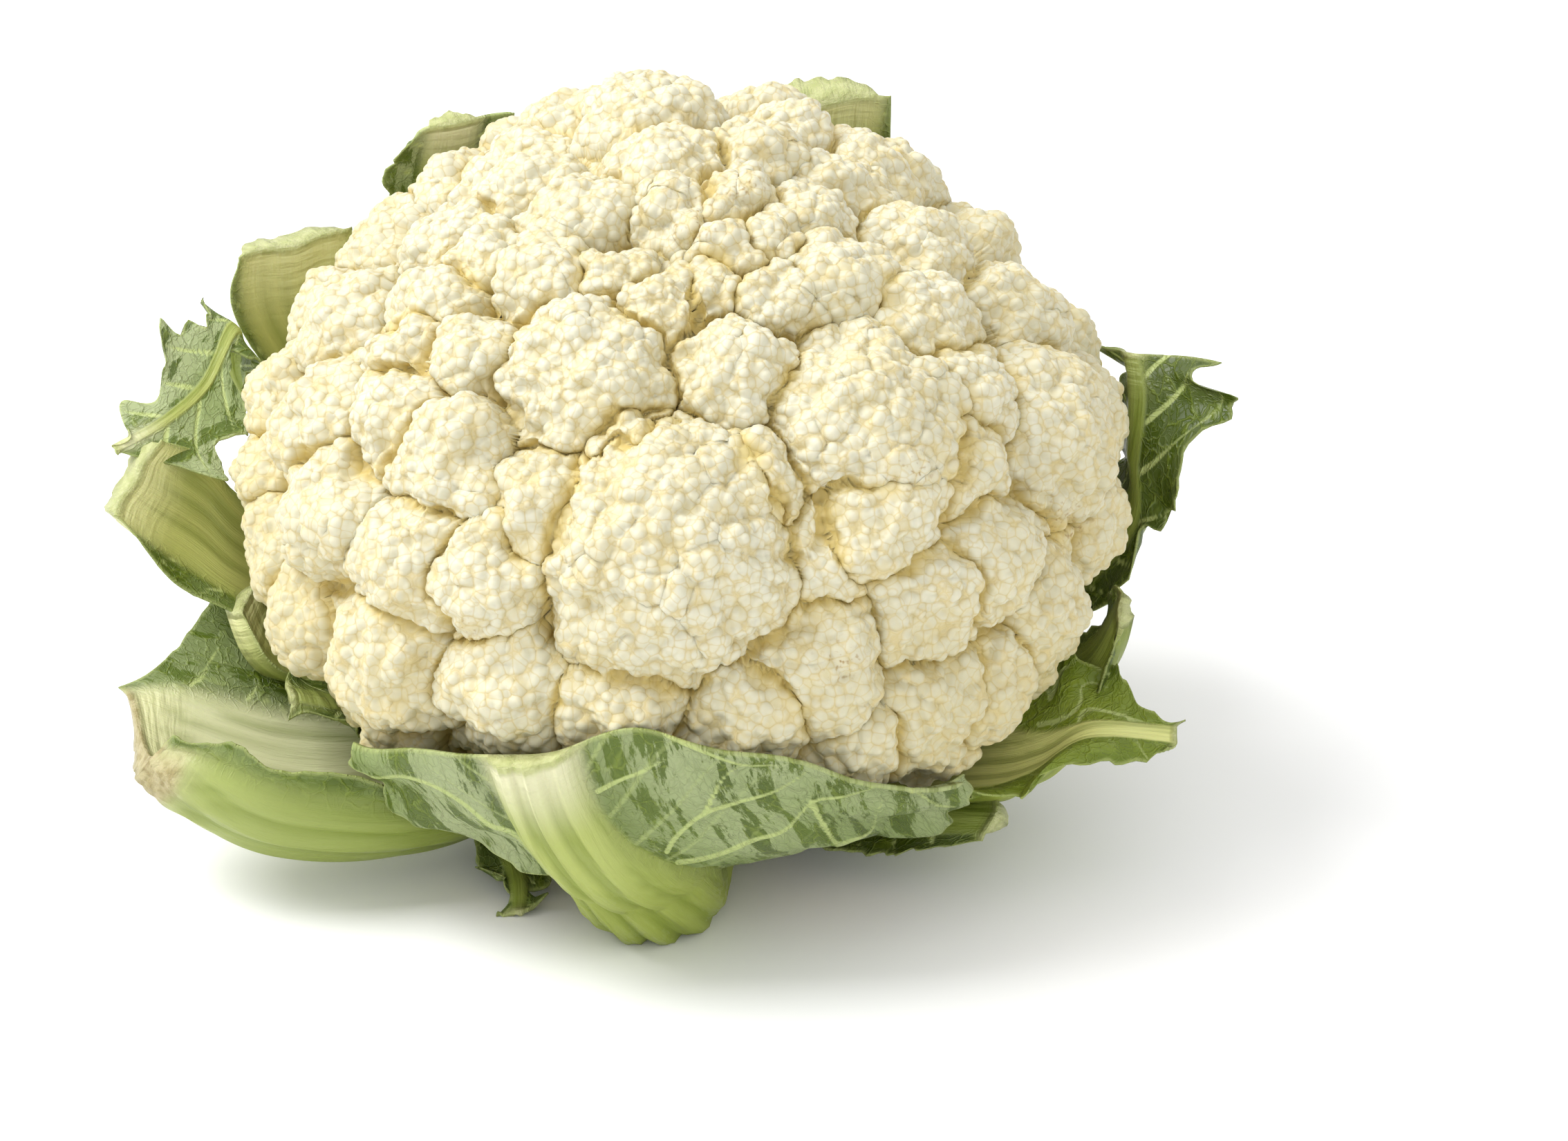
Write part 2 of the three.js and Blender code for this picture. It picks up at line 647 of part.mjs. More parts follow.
// Closes two faces, the net and its copy a thickness outwards, with a wall round the edge.
function shell(inner, thickness, grow) {
  const rows = inner.length;
  const columns = inner[0].length;
  const normal = (i, k) => {
    const a = inner[Math.min(i + 1, rows - 1)][k].clone().sub(inner[Math.max(i - 1, 0)][k]);
    const b = inner[i][Math.min(k + 1, columns - 1)].clone().sub(inner[i][Math.max(k - 1, 0)]);
    return a.cross(b).normalize();
  };
  // The head's centre lies behind every leaf a third of the way along it.
  const third = Math.floor(rows * 0.35);
  const rib = Math.floor(columns / 2);
  const facesOut = normal(third, rib).dot(inner[third][rib].clone().sub(centre)) > 0 ? 1 : -1;
  const positions = [];
  const edge = (i, k) => {
    const place = inner[i][k].clone();
    const growFrom = (next) => place.addScaledVector(next.clone().sub(inner[i][k]).normalize(), -grow);
    if (i === 0) growFrom(inner[1][k]);
    if (i === rows - 1) growFrom(inner[rows - 2][k]);
    if (k === 0) growFrom(inner[i][1]);
    if (k === columns - 1) growFrom(inner[i][columns - 2]);
    return place;
  };
  for (const side of [0, 1]) {
    for (let i = 0; i < rows; i++) {
      for (let k = 0; k < columns; k++) {
        const n = normal(i, k).multiplyScalar(facesOut);
        const p = edge(i, k).addScaledVector(n, side ? thickness[i][k] + grow : -grow);
        positions.push(p.x, p.y, p.z);
      }
    }
  }
  const at = (side, i, k) => side * rows * columns + i * columns + k;
  const triangles = [];
  const quad = (a, b, c, d) => triangles.push(...(facesOut > 0 ? [a, b, c, a, c, d] : [c, b, a, d, c, a]));
  for (let i = 0; i < rows - 1; i++) {
    for (let k = 0; k < columns - 1; k++) {
      quad(at(1, i, k), at(1, i + 1, k), at(1, i + 1, k + 1), at(1, i, k + 1));
      quad(at(0, i, k), at(0, i, k + 1), at(0, i + 1, k + 1), at(0, i + 1, k));
    }
  }
  const wall = (i, k, j, l) => quad(at(1, i, k), at(1, j, l), at(0, j, l), at(0, i, k));
  for (let i = 0; i < rows - 1; i++) {
    wall(i + 1, 0, i, 0);
    wall(i, columns - 1, i + 1, columns - 1);
  }
  for (let k = 0; k < columns - 1; k++) {
    wall(0, k, 0, k + 1);
    wall(rows - 1, k + 1, rows - 1, k);
  }
  const geometry = new THREE.BufferGeometry();
  geometry.setAttribute("position", new THREE.Float32BufferAttribute(positions, 3));
  geometry.setIndex(triangles);
  return toSolid(geometry);
}

const florets = floretBalls();
const balls = [...florets, ...knobBalls(florets)];
const table = aboveTable();
const curd = curdSolid(balls);
const curdClearance = curdSolid(balls, GAP);
const stalk = stalkSolid().subtract(curdClearance).intersect(table);

const white = new THREE.MeshStandardMaterial({ color: 0xf3eed8, roughness: 0.7 });
const pale = new THREE.MeshStandardMaterial({ color: 0xd5dba4, roughness: 0.5 });
const green = new THREE.MeshStandardMaterial({ color: 0x6d8a34, roughness: 0.5 });

const group = new THREE.Group();
function add(name, solid, material) {
  const mesh = new THREE.Mesh(toGeometry(solid), material);
  mesh.name = name;
  group.add(mesh);
}
add("curd", curd, white);
add("stalk", stalk, pale);

// Each leaf is trimmed clear of the curd, table, stalk and earlier leaves, and its largest part stays.
const placed = [stalk, curdClearance];
for (const [name, leaf] of Object.entries(leaves)) {
  let solid = leafSolid(leaf).intersect(table);
  for (const other of placed) solid = solid.subtract(other);
  const parts = solid.decompose().sort((a, b) => b.volume() - a.volume());
  add(name, parts[0], green);
  placed.push(leafSolid(leaf, GAP).add(parts[0]));
}

export default group;
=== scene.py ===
import math

import bmesh
import bpy
import numpy as np
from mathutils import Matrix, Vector
from mathutils.kdtree import KDTree


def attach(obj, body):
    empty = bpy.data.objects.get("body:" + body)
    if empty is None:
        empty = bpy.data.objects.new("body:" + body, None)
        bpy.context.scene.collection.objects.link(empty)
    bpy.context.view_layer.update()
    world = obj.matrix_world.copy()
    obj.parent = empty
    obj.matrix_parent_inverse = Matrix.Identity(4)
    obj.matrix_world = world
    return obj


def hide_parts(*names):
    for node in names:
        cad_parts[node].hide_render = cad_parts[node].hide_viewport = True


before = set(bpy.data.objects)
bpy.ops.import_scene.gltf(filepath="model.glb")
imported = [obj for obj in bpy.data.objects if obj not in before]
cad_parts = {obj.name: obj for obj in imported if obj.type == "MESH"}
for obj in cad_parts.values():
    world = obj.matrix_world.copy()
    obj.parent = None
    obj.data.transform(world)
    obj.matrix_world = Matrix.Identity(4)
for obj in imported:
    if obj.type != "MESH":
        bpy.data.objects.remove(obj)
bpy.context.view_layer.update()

# Measures are in millimetres, as in the part's source. +Z is up and the head leans forwards, towards -Y.
MM = 0.001
CURD_WIDTH = 170
DOME_HEIGHT = 58
UNDERSIDE_DEPTH = 42
HEAD_HEIGHT = 72
HEAD_TILT = math.radians(27)
FLORET_RISE = 6
KNOB_RISE = 2.5
KNOB_RADIUS = 6.5
KNOB_DENSITY = 0.17  # knobs on a floret for each square millimetre of its radius squared
KNOB_COVER = 1.25  # how far down from its top knobs cover a floret, in radii
SHOULDER_DROP = 7
SHOULDER_SPREAD = 0.09
STALK_RADIUS = 23
BLADE = 0.8
GOLDEN_ANGLE = math.pi * (3 - math.sqrt(5))

RIGHT = np.array([1.0, 0, 0])
AXIS = np.array([0, -math.sin(HEAD_TILT), math.cos(HEAD_TILT)])
BACK = np.array([0, math.cos(HEAD_TILT), math.sin(HEAD_TILT)])
CENTRE = np.array([0, -HEAD_HEIGHT * math.tan(HEAD_TILT), HEAD_HEIGHT])
SMOOTH_RADIUS = CURD_WIDTH / 2 - FLORET_RISE - KNOB_RISE
SMOOTH_DOME = DOME_HEIGHT - FLORET_RISE - KNOB_RISE

# The viewpoint. Places are given as [right, up, towards the viewer] on the sheet that faces it.
VIEW_ELEVATION = math.radians(24)
VIEW_DISTANCE = 820
VIEW_RIGHT = 19
VIEW_BELOW = 21
UP = np.array([0, math.sin(VIEW_ELEVATION), math.cos(VIEW_ELEVATION)])
TOWARDS = np.array([0, -math.cos(VIEW_ELEVATION), math.sin(VIEW_ELEVATION)])
EYE = CENTRE + VIEW_DISTANCE * TOWARDS + VIEW_RIGHT * RIGHT - VIEW_BELOW * UP


def seen(places):
    """World places of [right, up, towards the viewer]."""
    places = np.asarray(places, float)
    flat = CENTRE + places[..., :1] * RIGHT + places[..., 1:2] * UP
    return (flat - EYE) * (1 - places[..., 2:3] / VIEW_DISTANCE) + EYE


def on_sheet(points):
    """Where world points are seen on the sheet: right and up."""
    offset = points - EYE
    reach = offset @ -TOWARDS
    hit = EYE + offset * (VIEW_DISTANCE / reach)[..., None] - CENTRE
    return np.stack([hit @ RIGHT, hit @ UP], -1)


def size_of(vectors):
    return np.linalg.norm(vectors, axis=-1)


def unit(vectors):
    return vectors / np.maximum(size_of(vectors), 1e-9)[..., None]


def smooth_step(low, high, x):
    t = np.clip((x - low) / (high - low), 0, 1)
    return t * t * (3 - 2 * t)


def head_direction(along, turn):
    across = np.sqrt(np.maximum(0, 1 - along**2))
    out = [across * np.cos(turn), across * np.sin(turn), along]
    return sum(np.asarray(share)[..., None] * base for share, base in zip(out, (RIGHT, BACK, AXIS)))


SHOULDERS = [head_direction(0.44, math.radians(turn)) for turn in (38, 142)]


def dome_radius(directions):
    """The smooth dome's radius from the head's centre."""
    along = directions @ AXIS
    polar = np.where(along > 0, SMOOTH_DOME, UNDERSIDE_DEPTH)
    round_dome = 1 / np.sqrt((1 - along**2) / SMOOTH_RADIUS**2 + along**2 / polar**2)
    flat = sum(np.exp((directions @ at - 1) / SHOULDER_SPREAD) for at in SHOULDERS)
    return round_dome - SHOULDER_DROP * flat


# The florets that face the viewer: [right, up, radius], with the rise where it isn't the ordinary one.
FRONT_FLORETS = [
    [-2, -23, 24, 12], [38, 1, 21, 10], [-19, 13, 17, 9], [-43, -3, 12, 8], [-50, -21, 11.5, 8],
    [-36, -24, 11.5, 7], [-54, -39, 13, 8], [-66, -12, 15], [-68, 5, 13], [-69, -31, 12],
    [-26, -11, 11.5], [10, 13, 12, 7.5], [-9, 0, 9], [13, -8, 11], [27, -21, 10, 5], [-4, 25, 9],
    [30, 31, 11.5, 7], [-26, 31, 10.5], [-13, 32, 7], [-1, 44, 9], [10, 46, 8.5], [9, 36, 7.5],
    [16, 38, 7], [17, 27, 8], [6, 29, 7], [24, 43, 8], [-20, 44, 12], [13, 55, 10], [-7, 62, 15, 8],
    [21, 59, 10], [40, 53, 12], [46, 36, 14, 7], [58, 41, 10], [64, 24, 13], [71, 3, 17, 8],
    [36, -14, 11, 8], [50, -3, 11, 7], [56, -20, 12], [67, -28, 11], [45, -27, 12], [26, -40, 13],
    [45, -48, 13], [57, -43, 11], [-33, -45, 13], [-12, -49, 11], [12, -50, 11], [31, -54, 9],
    [52, -58, 9], [-40, 16, 10], [-51, 18, 9], [-46, 27, 10], [-37, 35, 9], [-64, 23, 12],
    [-75, 12, 11], [-46, 52, 14], [-31, 54, 12], [-56, 38, 12], [-70, 28, 10], [-77, -3, 11],
    [-77, -18, 11], [79, 8, 11], [78, -12, 12],
]


def random_from(seed):
    """The same seeded random numbers as the part's source, so that each knob is where its solid has it."""
    state = seed
    while True:
        state = (state * 1664525 + 1013904223) % 4294967296
        yield state / 4294967296


def dome_direction(x, v):
    """Where a sight line meets the dome, or passes nearest to it."""
    places = seen([[x, v, depth] for depth in range(100, -90, -1)]) - CENTRE
    distance = size_of(places)
    directions = places / distance[:, None]
    depth = distance / dome_radius(directions)
    inside = np.flatnonzero(depth < 1)
    return directions[inside[0] if len(inside) else depth.argmin()]


def floret_balls():
    """Every floret as a ball: direction, centre from the head's centre, and radius."""

    def place(direction, radius, rise=FLORET_RISE):
        return direction, direction * (dome_radius(direction) + rise - radius), radius

    balls = [place(dome_direction(x, v), radius, *rise) for x, v, radius, *rise in FRONT_FLORETS]
    random = random_from(7)
    spread = 150
    lowest = -0.52
    clearance = 17
    for i in range(spread):
        direction = head_direction(1 - (1 - lowest) * (i + 0.5) / spread, i * GOLDEN_ANGLE)
        surface = direction * dome_radius(direction)
        ball = place(direction, 10 + 4 * next(random))
        gaps = [np.linalg.norm(at * dome_radius(at) - surface) - (clearance + r) / 2 for at, _, r in balls]
        if min(gaps) >= 0:
            balls.append(ball)
    return balls


def knob_balls(florets):
    """The knobs that cover each floret: centre, radius and floret."""
    random = random_from(11)
    knobs = []
    for number, (direction, at, radius) in enumerate(florets):
        count = math.floor(KNOB_DENSITY * radius**2 + 0.5)
        spin = next(random) * math.pi * 2
        turned = np.array(Vector((0, 0, 1)).rotation_difference(Vector(direction)).to_matrix())
        size = min(KNOB_RADIUS, radius * 0.6)
        for i in range(count):
            along = 1 - KNOB_COVER * (i + 0.5) / count
            turn = spin + i * GOLDEN_ANGLE
            across = math.sqrt(1 - along * along)
            out = turned @ np.array([across * math.cos(turn), across * math.sin(turn), along])
            knob = size * (0.85 + 0.3 * next(random))
            knobs.append((at + out * (radius + KNOB_RISE - knob), knob, number))
    return knobs


def furthest(directions, at, radius, family):
    """How far the balls reach from the head's centre along each direction, and by which ball.

    It also gives how much less the next floret reaches there, and how much less the next ball.
    """
    reach = dome_radius(directions)
    owner = np.full(len(directions), -1)
    wide = 9.0
    floret_gap = np.full(len(directions), wide)
    ball_gap = np.full(len(directions), wide)
    cell_size = 0.08
    polar = np.floor(np.arccos(np.clip(directions[:, 2], -1, 1)) / cell_size)
    cell = polar * 1000 + np.floor(np.arctan2(directions[:, 1], directions[:, 0]) / cell_size)
    order = np.argsort(cell, kind="stable")
    starts = np.flatnonzero(np.diff(cell[order], prepend=-1e9))
    distance = size_of(at)
    heading = at / distance[:, None]
    cone = np.arcsin(np.minimum(radius / distance, 1))
    for begin, end in zip(starts, [*starts[1:], len(order)]):
        members = order[begin:end]
        looks = directions[members]
        middle = unit(looks.mean(0))
        spread = math.acos(np.clip((looks @ middle).min(), -1, 1))
        near = np.flatnonzero(heading @ middle > np.cos(np.minimum(cone + spread, math.pi)))
        if len(near) == 0:
            continue
        along = looks @ at[near].T
        inside = radius[near] ** 2 - distance[near] ** 2 + along**2
        leave = np.where(inside > 0, along + np.sqrt(np.maximum(inside, 0)), 0)
        row = np.arange(len(members))
        best = leave.argmax(1)
        far = leave[row, best]
        same = family[near][None, :] == family[near][best][:, None]
        next_floret = np.maximum(np.where(same, 0, leave).max(1), reach[members])
        leave[row, best] = 0
        next_ball = np.maximum(leave.max(1), reach[members])
        floret_gap[members] = np.abs(far - next_floret)
        ball_gap[members] = np.abs(far - next_ball)
        wins = far > reach[members]
        reach[members[wins]] = far[wins]
        owner[members[wins]] = near[best[wins]]
    return reach, owner, floret_gap, ball_gap


def geodesic(steps):
    """A unit sphere of 20 * steps**2 even triangles: its points and its triangles."""
    seed = bmesh.new()
    bmesh.ops.create_icosphere(seed, subdivisions=1, radius=1)
    corners = np.array([v.co for v in seed.verts])
    faces = [[v.index for v in f.verts] for f in seed.faces]
    seed.free()
    cells = [(i, j) for i in range(steps + 1) for j in range(steps + 1 - i)]
    number = {cell: k for k, cell in enumerate(cells)}
    shares = np.array([(steps - i - j, i, j) for i, j in cells]) / steps
    ups = [(number[i, j], number[i + 1, j], number[i, j + 1]) for i, j in cells if i + j < steps]
    inner = [(i, j) for i, j in cells if i + j < steps - 1]
    downs = [(number[i + 1, j], number[i + 1, j + 1], number[i, j + 1]) for i, j in inner]
    pattern = np.array(ups + downs)
    points = np.concatenate([shares @ corners[face] for face in faces])
    triangles = np.concatenate([pattern + k * len(cells) for k in range(len(faces))])
    _, first, place = np.unique(np.round(points, 5), axis=0, return_index=True, return_inverse=True)
    return unit(points[first]), place.reshape(-1)[triangles]


def split_triangles(points, triangles):
    """Every triangle split in four at the middles of its sides."""
    sides = np.concatenate([triangles[:, [0, 1]], triangles[:, [1, 2]], triangles[:, [2, 0]]])
    low, high = sides.min(1), sides.max(1)
    _, first, place = np.unique(low * len(points) + high, return_index=True, return_inverse=True)
    middles = (points[low[first]] + points[high[first]]) / 2
    a, b, c = triangles.T
    ab, bc, ca = len(points) + place.reshape(3, -1)
    split = [(a, ab, ca), (ab, b, bc), (ca, bc, c), (ab, bc, ca)]
    return np.concatenate([points, middles]), np.concatenate([np.stack(t, 1) for t in split])


def neighbour_mean(values, triangles):
    """The mean of each point's neighbours."""
    a = triangles[:, [0, 1, 2]].ravel()
    b = triangles[:, [1, 2, 0]].ravel()
    count = np.bincount(a, minlength=len(values))[:, None]
    total = np.stack([np.bincount(a, values[b, k], len(values)) for k in range(3)], 1)
    return total / count


def point_normals(points, triangles):
    a, b, c = (points[triangles[:, k]] for k in range(3))
    repeated = np.repeat(np.cross(b - a, c - a), 3, axis=0)
    corners = triangles.ravel()
    return unit(np.stack([np.bincount(corners, repeated[:, k], len(points)) for k in range(3)], 1))


def spaced_points(points, triangles, spacing, random):
    """Random places on the surface, none nearer to another than a spacing that varies."""
    low, high = spacing
    a, b, c = (points[triangles[:, k]] for k in range(3))
    area = size_of(np.cross(b - a, c - a)) / 2
    tries_each = 12
    tries = int(tries_each * area.sum() / high**2)
    chosen = random.choice(len(triangles), tries, p=area / area.sum())
    share = random.random((tries, 2))
    share = np.where(share.sum(1, keepdims=True) > 1, 1 - share, share)
    places = a[chosen] + (b - a)[chosen] * share[:, :1] + (c - a)[chosen] * share[:, 1:]
    wanted = (low + (high - low) * random.random(tries)) ** 2
    steps = [(i, j, k) for i in (-1, 0, 1) for j in (-1, 0, 1) for k in (-1, 0, 1)]
    cells = {}
    kept = []

    def is_clear(x, y, z, cell, limit):
        for i, j, k in steps:
            for ox, oy, oz in cells.get((cell[0] + i, cell[1] + j, cell[2] + k), ()):
                if (ox - x) ** 2 + (oy - y) ** 2 + (oz - z) ** 2 < limit:
                    return False
        return True

    for k, (x, y, z) in enumerate(places.tolist()):
        cell = (int(x // high), int(y // high), int(z // high))
        if is_clear(x, y, z, cell, wanted[k]):
            cells.setdefault(cell, []).append((x, y, z))
            kept.append(k)
    return places[kept]


def add_piece(name, node, slot, material, points, triangles, fields, normals=None):
    """A smooth mesh piece from millimetre points, with a value at each point for each field."""
    mesh = bpy.data.meshes.new(name)
    mesh.vertices.add(len(points))
    mesh.vertices.foreach_set("co", (points * MM).astype(np.float32).ravel())
    mesh.loops.add(3 * len(triangles))
    mesh.loops.foreach_set("vertex_index", triangles.ravel().astype(np.int32))
    mesh.polygons.add(len(triangles))
    mesh.polygons.foreach_set("loop_start", np.arange(0, 3 * len(triangles), 3, dtype=np.int32))
    mesh.polygons.foreach_set("use_smooth", np.ones(len(triangles), bool))
    mesh.update(calc_edges=True)
    for field, values in fields.items():
        kind, entry = ("FLOAT", "value") if values.ndim == 1 else ("FLOAT_VECTOR", "vector")
        data = mesh.attributes.new(field, kind, "POINT").data
        data.foreach_set(entry, values.astype(np.float32).ravel())
    if normals is not None:
        mesh.normals_split_custom_set_from_vertices(normals)
    mesh.materials.append(material)
    piece = bpy.data.objects.new(name, mesh)
    bpy.context.scene.collection.objects.link(piece)
    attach(piece, "root")
    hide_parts(node)


# Materials.


class Nodes:
    """Short ways to add shader nodes to one material."""

    def __init__(self, name):
        self.material = bpy.data.materials.new(name)
        self.material.use_nodes = True
        self.tree = self.material.node_tree
        self.shader = self.tree.nodes["Principled BSDF"]

    def add(self, kind, settings=None, **inputs):
        node = self.tree.nodes.new(kind)
        for key, value in (settings or {}).items():
            setattr(node, key, value)
        for key, value in inputs.items():
            self.put(value, node.inputs[int(key[1:]) if key[1:].isdigit() else key.replace("_", " ")])
        return node

    def put(self, value, socket):
        if isinstance(value, bpy.types.NodeSocket):
            self.tree.links.new(value, socket)
        elif isinstance(value, bpy.types.Node):
            self.tree.links.new(value.outputs[0], socket)
        else:
            socket.default_value = (*value, 1) if socket.type == "RGBA" else value

    def field(self, name, output="Fac"):
        return self.add("ShaderNodeAttribute", {"attribute_name": name}).outputs[output]

    def mix(self, share, a, b):
        node = self.add("ShaderNodeMix", {"data_type": "RGBA"}, Factor=share, _6=a, _7=b)
        return node.outputs[2]

    def math(self, operation, a, b=0.0):
        return self.add("ShaderNodeMath", {"operation": operation}, _0=a, _1=b).outputs[0]

    def times(self, product, *factors):
        for factor in factors:
            product = self.math("MULTIPLY", product, factor)
        return product

    def total(self, first, *others):
        for other in others:
            first = self.math("ADD", first, other)
        return first

    def ramp(self, value, low, high, start=0.0, end=1.0):
        """A smooth change from start to end while the value goes from low to high."""
        node = self.add("ShaderNodeMapRange", {"interpolation_type": "SMOOTHSTEP"}, Value=value)
        for socket, item in {"From Min": low, "From Max": high, "To Min": start, "To Max": end}.items():
            self.put(item, node.inputs[socket])
        return node.outputs[0]

    def noise(self, scale, place=None, detail=3.0, rough=0.5, output="Fac"):
        node = self.add("ShaderNodeTexNoise", Scale=scale, Detail=detail, Roughness=rough)
        self.put(place if place is not None else self.object_place(), node.inputs["Vector"])
        return node.outputs[output]

    def strokes(self, place, scale, turn=0.0, detail=3.0, rough=0.5):
        """Noise drawn out in one direction."""
        drawn = self.add("ShaderNodeMapping", Vector=place, Rotation=(0.0, 0.0, turn), Scale=(*scale, 1.0))
        return self.noise(1.0, drawn, detail, rough)

    def cells(self, feature, scale, place, randomness=1.0):
        """The distance from the middle (F1) or the edge of the cell around each place."""
        inputs = {"Vector": place, "Scale": scale, "Randomness": randomness}
        return self.add("ShaderNodeTexVoronoi", {"feature": feature}, **inputs).outputs["Distance"]

    def object_place(self):
        return self.add("ShaderNodeTexCoord").outputs["Object"]

    def bump(self, height, strength):
        node = self.add("ShaderNodeBump", Strength=strength, Distance=0.5 * MM, Height=height)
        self.put(node, self.shader.inputs["Normal"])

    def finish(self, color, roughness, **values):
        for key, value in {"Base_Color": color, "Roughness": roughness, **values}.items():
            self.put(value, self.shader.inputs[key.replace("_", " ")])
        return self.material


BEAD_SCALE = 460.0  # of the finest beads, in cells to the metre
BEAD_RANDOMNESS = 0.8


def curd_material():
    """Creamy white round beads with tan specks, with painted shade between the beads and in the creases, and
    yellower and darker low down, partly the curd's own yellowing and partly painted shade.
    """
    n = Nodes("curd_white")
    middle = n.cells("F1", BEAD_SCALE, n.object_place(), BEAD_RANDOMNESS)
    edge = n.cells("DISTANCE_TO_EDGE", BEAD_SCALE, n.object_place(), BEAD_RANDOMNESS)
    away = n.math("MINIMUM", n.times(middle, 1.3), 1.0)
    cream = n.mix(n.ramp(n.noise(45.0), 0.3, 0.7), (0.57, 0.54, 0.39), (0.62, 0.60, 0.465))
    # Yellower and darker low on the head: partly the curd's own yellowing, partly painted shade.
    lower = n.mix(n.times(n.field("low"), 0.8), cream, (0.50, 0.445, 0.23))
    # Painted shade: yellower where the mesh's beads and lobes are low, between them.
    bead_shaded = n.mix(n.ramp(n.field("shade_between_beads"), 0.2, 1.0, 0.0, 0.4), lower, (0.62, 0.51, 0.22))
    # Painted shade: tan lines in the grooves between the bumped beads.
    lined = n.mix(n.ramp(away, 0.6, 1.0, 0.0, 0.5), bead_shaded, (0.56, 0.45, 0.19))
    lined = n.mix(n.ramp(edge, 0.0, 0.09, 0.4, 0.0), lined, (0.52, 0.41, 0.16))
    # Painted shade: yellow-tan in the creases between florets, in pits and on florets set low.
    deep = n.mix(n.ramp(n.field("crease"), 0.0, 0.9, 0.0, 0.85), lined, (0.60, 0.47, 0.15))
    speck = n.times(n.ramp(n.noise(900.0, detail=2.0), 0.55, 0.75), n.field("stain"))
    color = n.mix(speck, deep, (0.32, 0.2, 0.06))
    rounded = n.math("SQRT", n.math("SUBTRACT", 1.05, n.times(away, away)))
    n.bump(rounded, 0.75)
    glow = {"Subsurface_Weight": 0.3, "Subsurface_Radius": (1.0, 0.75, 0.4), "Subsurface_Scale": 0.001}
    return n.finish(color, 0.55, **glow)


def leaf_material(name, dark, light, bloom_share, rib_tints, cut_end):
    """Leaf green with pale veins and rib, a waxy bloom with rubbed patches, a pale margin and a cut end. The
    rib has painted shade in its furrows, and paler streaks that are partly its own colour and partly painted
    light.

    The rib's tints are those of its root, its end, its inner side and its bleached tip.
    """
    n = Nodes(name)
    root, end, inner_side, bleached_tip = rib_tints
    vein_green = (0.30, 0.38, 0.05)
    flat = n.field("flat", "Vector")
    green = n.mix(n.ramp(n.noise(45.0, flat), 0.3, 0.7), dark, light)

    # A net of fine veins between the large ones.
    warp = n.noise(300.0, flat, detail=2.0, output="Color")
    sway = (0.004, 0.004, 0.0)
    swayed = n.add("ShaderNodeVectorMath", {"operation": "MULTIPLY_ADD"}, _0=warp, _1=sway, _2=flat)
    net_line = n.ramp(n.cells("DISTANCE_TO_EDGE", 240.0, swayed), 0.0, 0.07, 1.0, 0.0)
    fine_line = n.ramp(n.cells("DISTANCE_TO_EDGE", 800.0, swayed), 0.0, 0.12, 1.0, 0.0)
    lined = n.mix(n.times(net_line, 0.25), green, vein_green)
    lined = n.mix(n.times(fine_line, 0.1), lined, vein_green)

    rubbed = n.ramp(n.strokes(flat, (60.0, 190.0), turn=0.7, detail=10.0, rough=0.7), 0.5, 0.54)
    wax = n.times(n.math("SUBTRACT", 1.0, n.times(rubbed, 0.9)), bloom_share, n.field("waxy"))
    bloom = n.mix(n.ramp(n.noise(30.0, flat), 0.35, 0.65), (0.22, 0.28, 0.10), (0.34, 0.39, 0.20))
    waxed = n.mix(wax, lined, bloom)
    veined = n.mix(n.ramp(n.field("vein"), 0.25, 0.75, 0.0, 0.85), waxed, (0.42, 0.49, 0.18))

    streak = n.strokes(flat, (25.0, 350.0), detail=6.0, rough=0.6)
    pale = n.mix(n.ramp(n.field("along"), 0.35, 0.8), root, end)
    # Paler along the rib's raised streaks: partly its own streaky colour, partly painted light.
    pale = n.mix(n.ramp(streak, 0.3, 0.7, 0.0, 0.5), pale, end)
    pale = n.mix(n.field("inside"), pale, inner_side)
    # Painted shade: dark green in the furrows between the rib's ridges.
    pale = n.mix(n.times(n.field("furrow_shade"), 0.45), pale, (0.13, 0.18, 0.008))
    ribbed = n.mix(n.field("rib"), veined, pale)
    bleached = n.mix(n.field("pale"), ribbed, bleached_tip)
    edged = n.mix(n.times(n.field("margin"), 0.4), bleached, (0.45, 0.50, 0.18))
    cut_face = n.mix(n.ramp(n.noise(500.0, detail=5.0), 0.35, 0.65), *cut_end)
    color = n.mix(n.field("cut"), edged, cut_face)

    net_height = n.total(n.times(net_line, 0.6), n.times(fine_line, 0.3))
    height = n.total(
        n.times(net_height, n.math("SUBTRACT", 1.0, n.field("rib"))),
        n.times(streak, n.field("rib"), 3.0),
        n.times(n.strokes(flat, (420.0, 60.0)), n.field("pale"), 5.0),
        n.times(n.noise(500.0, detail=6.0, rough=0.65), n.field("cut"), 4.0),
    )
    n.bump(height, 0.7)
    glow = {"Subsurface_Weight": 0.08, "Subsurface_Radius": (0.5, 1.0, 0.2), "Subsurface_Scale": 0.001}
    return n.finish(color, n.ramp(wax, 0.0, 0.6, 0.34, 0.6), Specular_IOR_Level=0.3, **glow)


def stalk_material():
    n = Nodes("stalk_pale")
    pale = n.mix(n.ramp(n.noise(60.0), 0.3, 0.7), (0.42, 0.46, 0.16), (0.58, 0.60, 0.30))
    scarred = n.mix(n.field("scar"), pale, (0.38, 0.30, 0.14))
    color = n.mix(n.field("cut"), scarred, (0.70, 0.66, 0.42))
    n.bump(n.noise(700.0, detail=5.0), 0.4)
    glow = {"Subsurface_Weight": 0.1, "Subsurface_Radius": (1.0, 0.9, 0.4), "Subsurface_Scale": 0.002}
    return n.finish(color, 0.5, **glow)


# The curd.

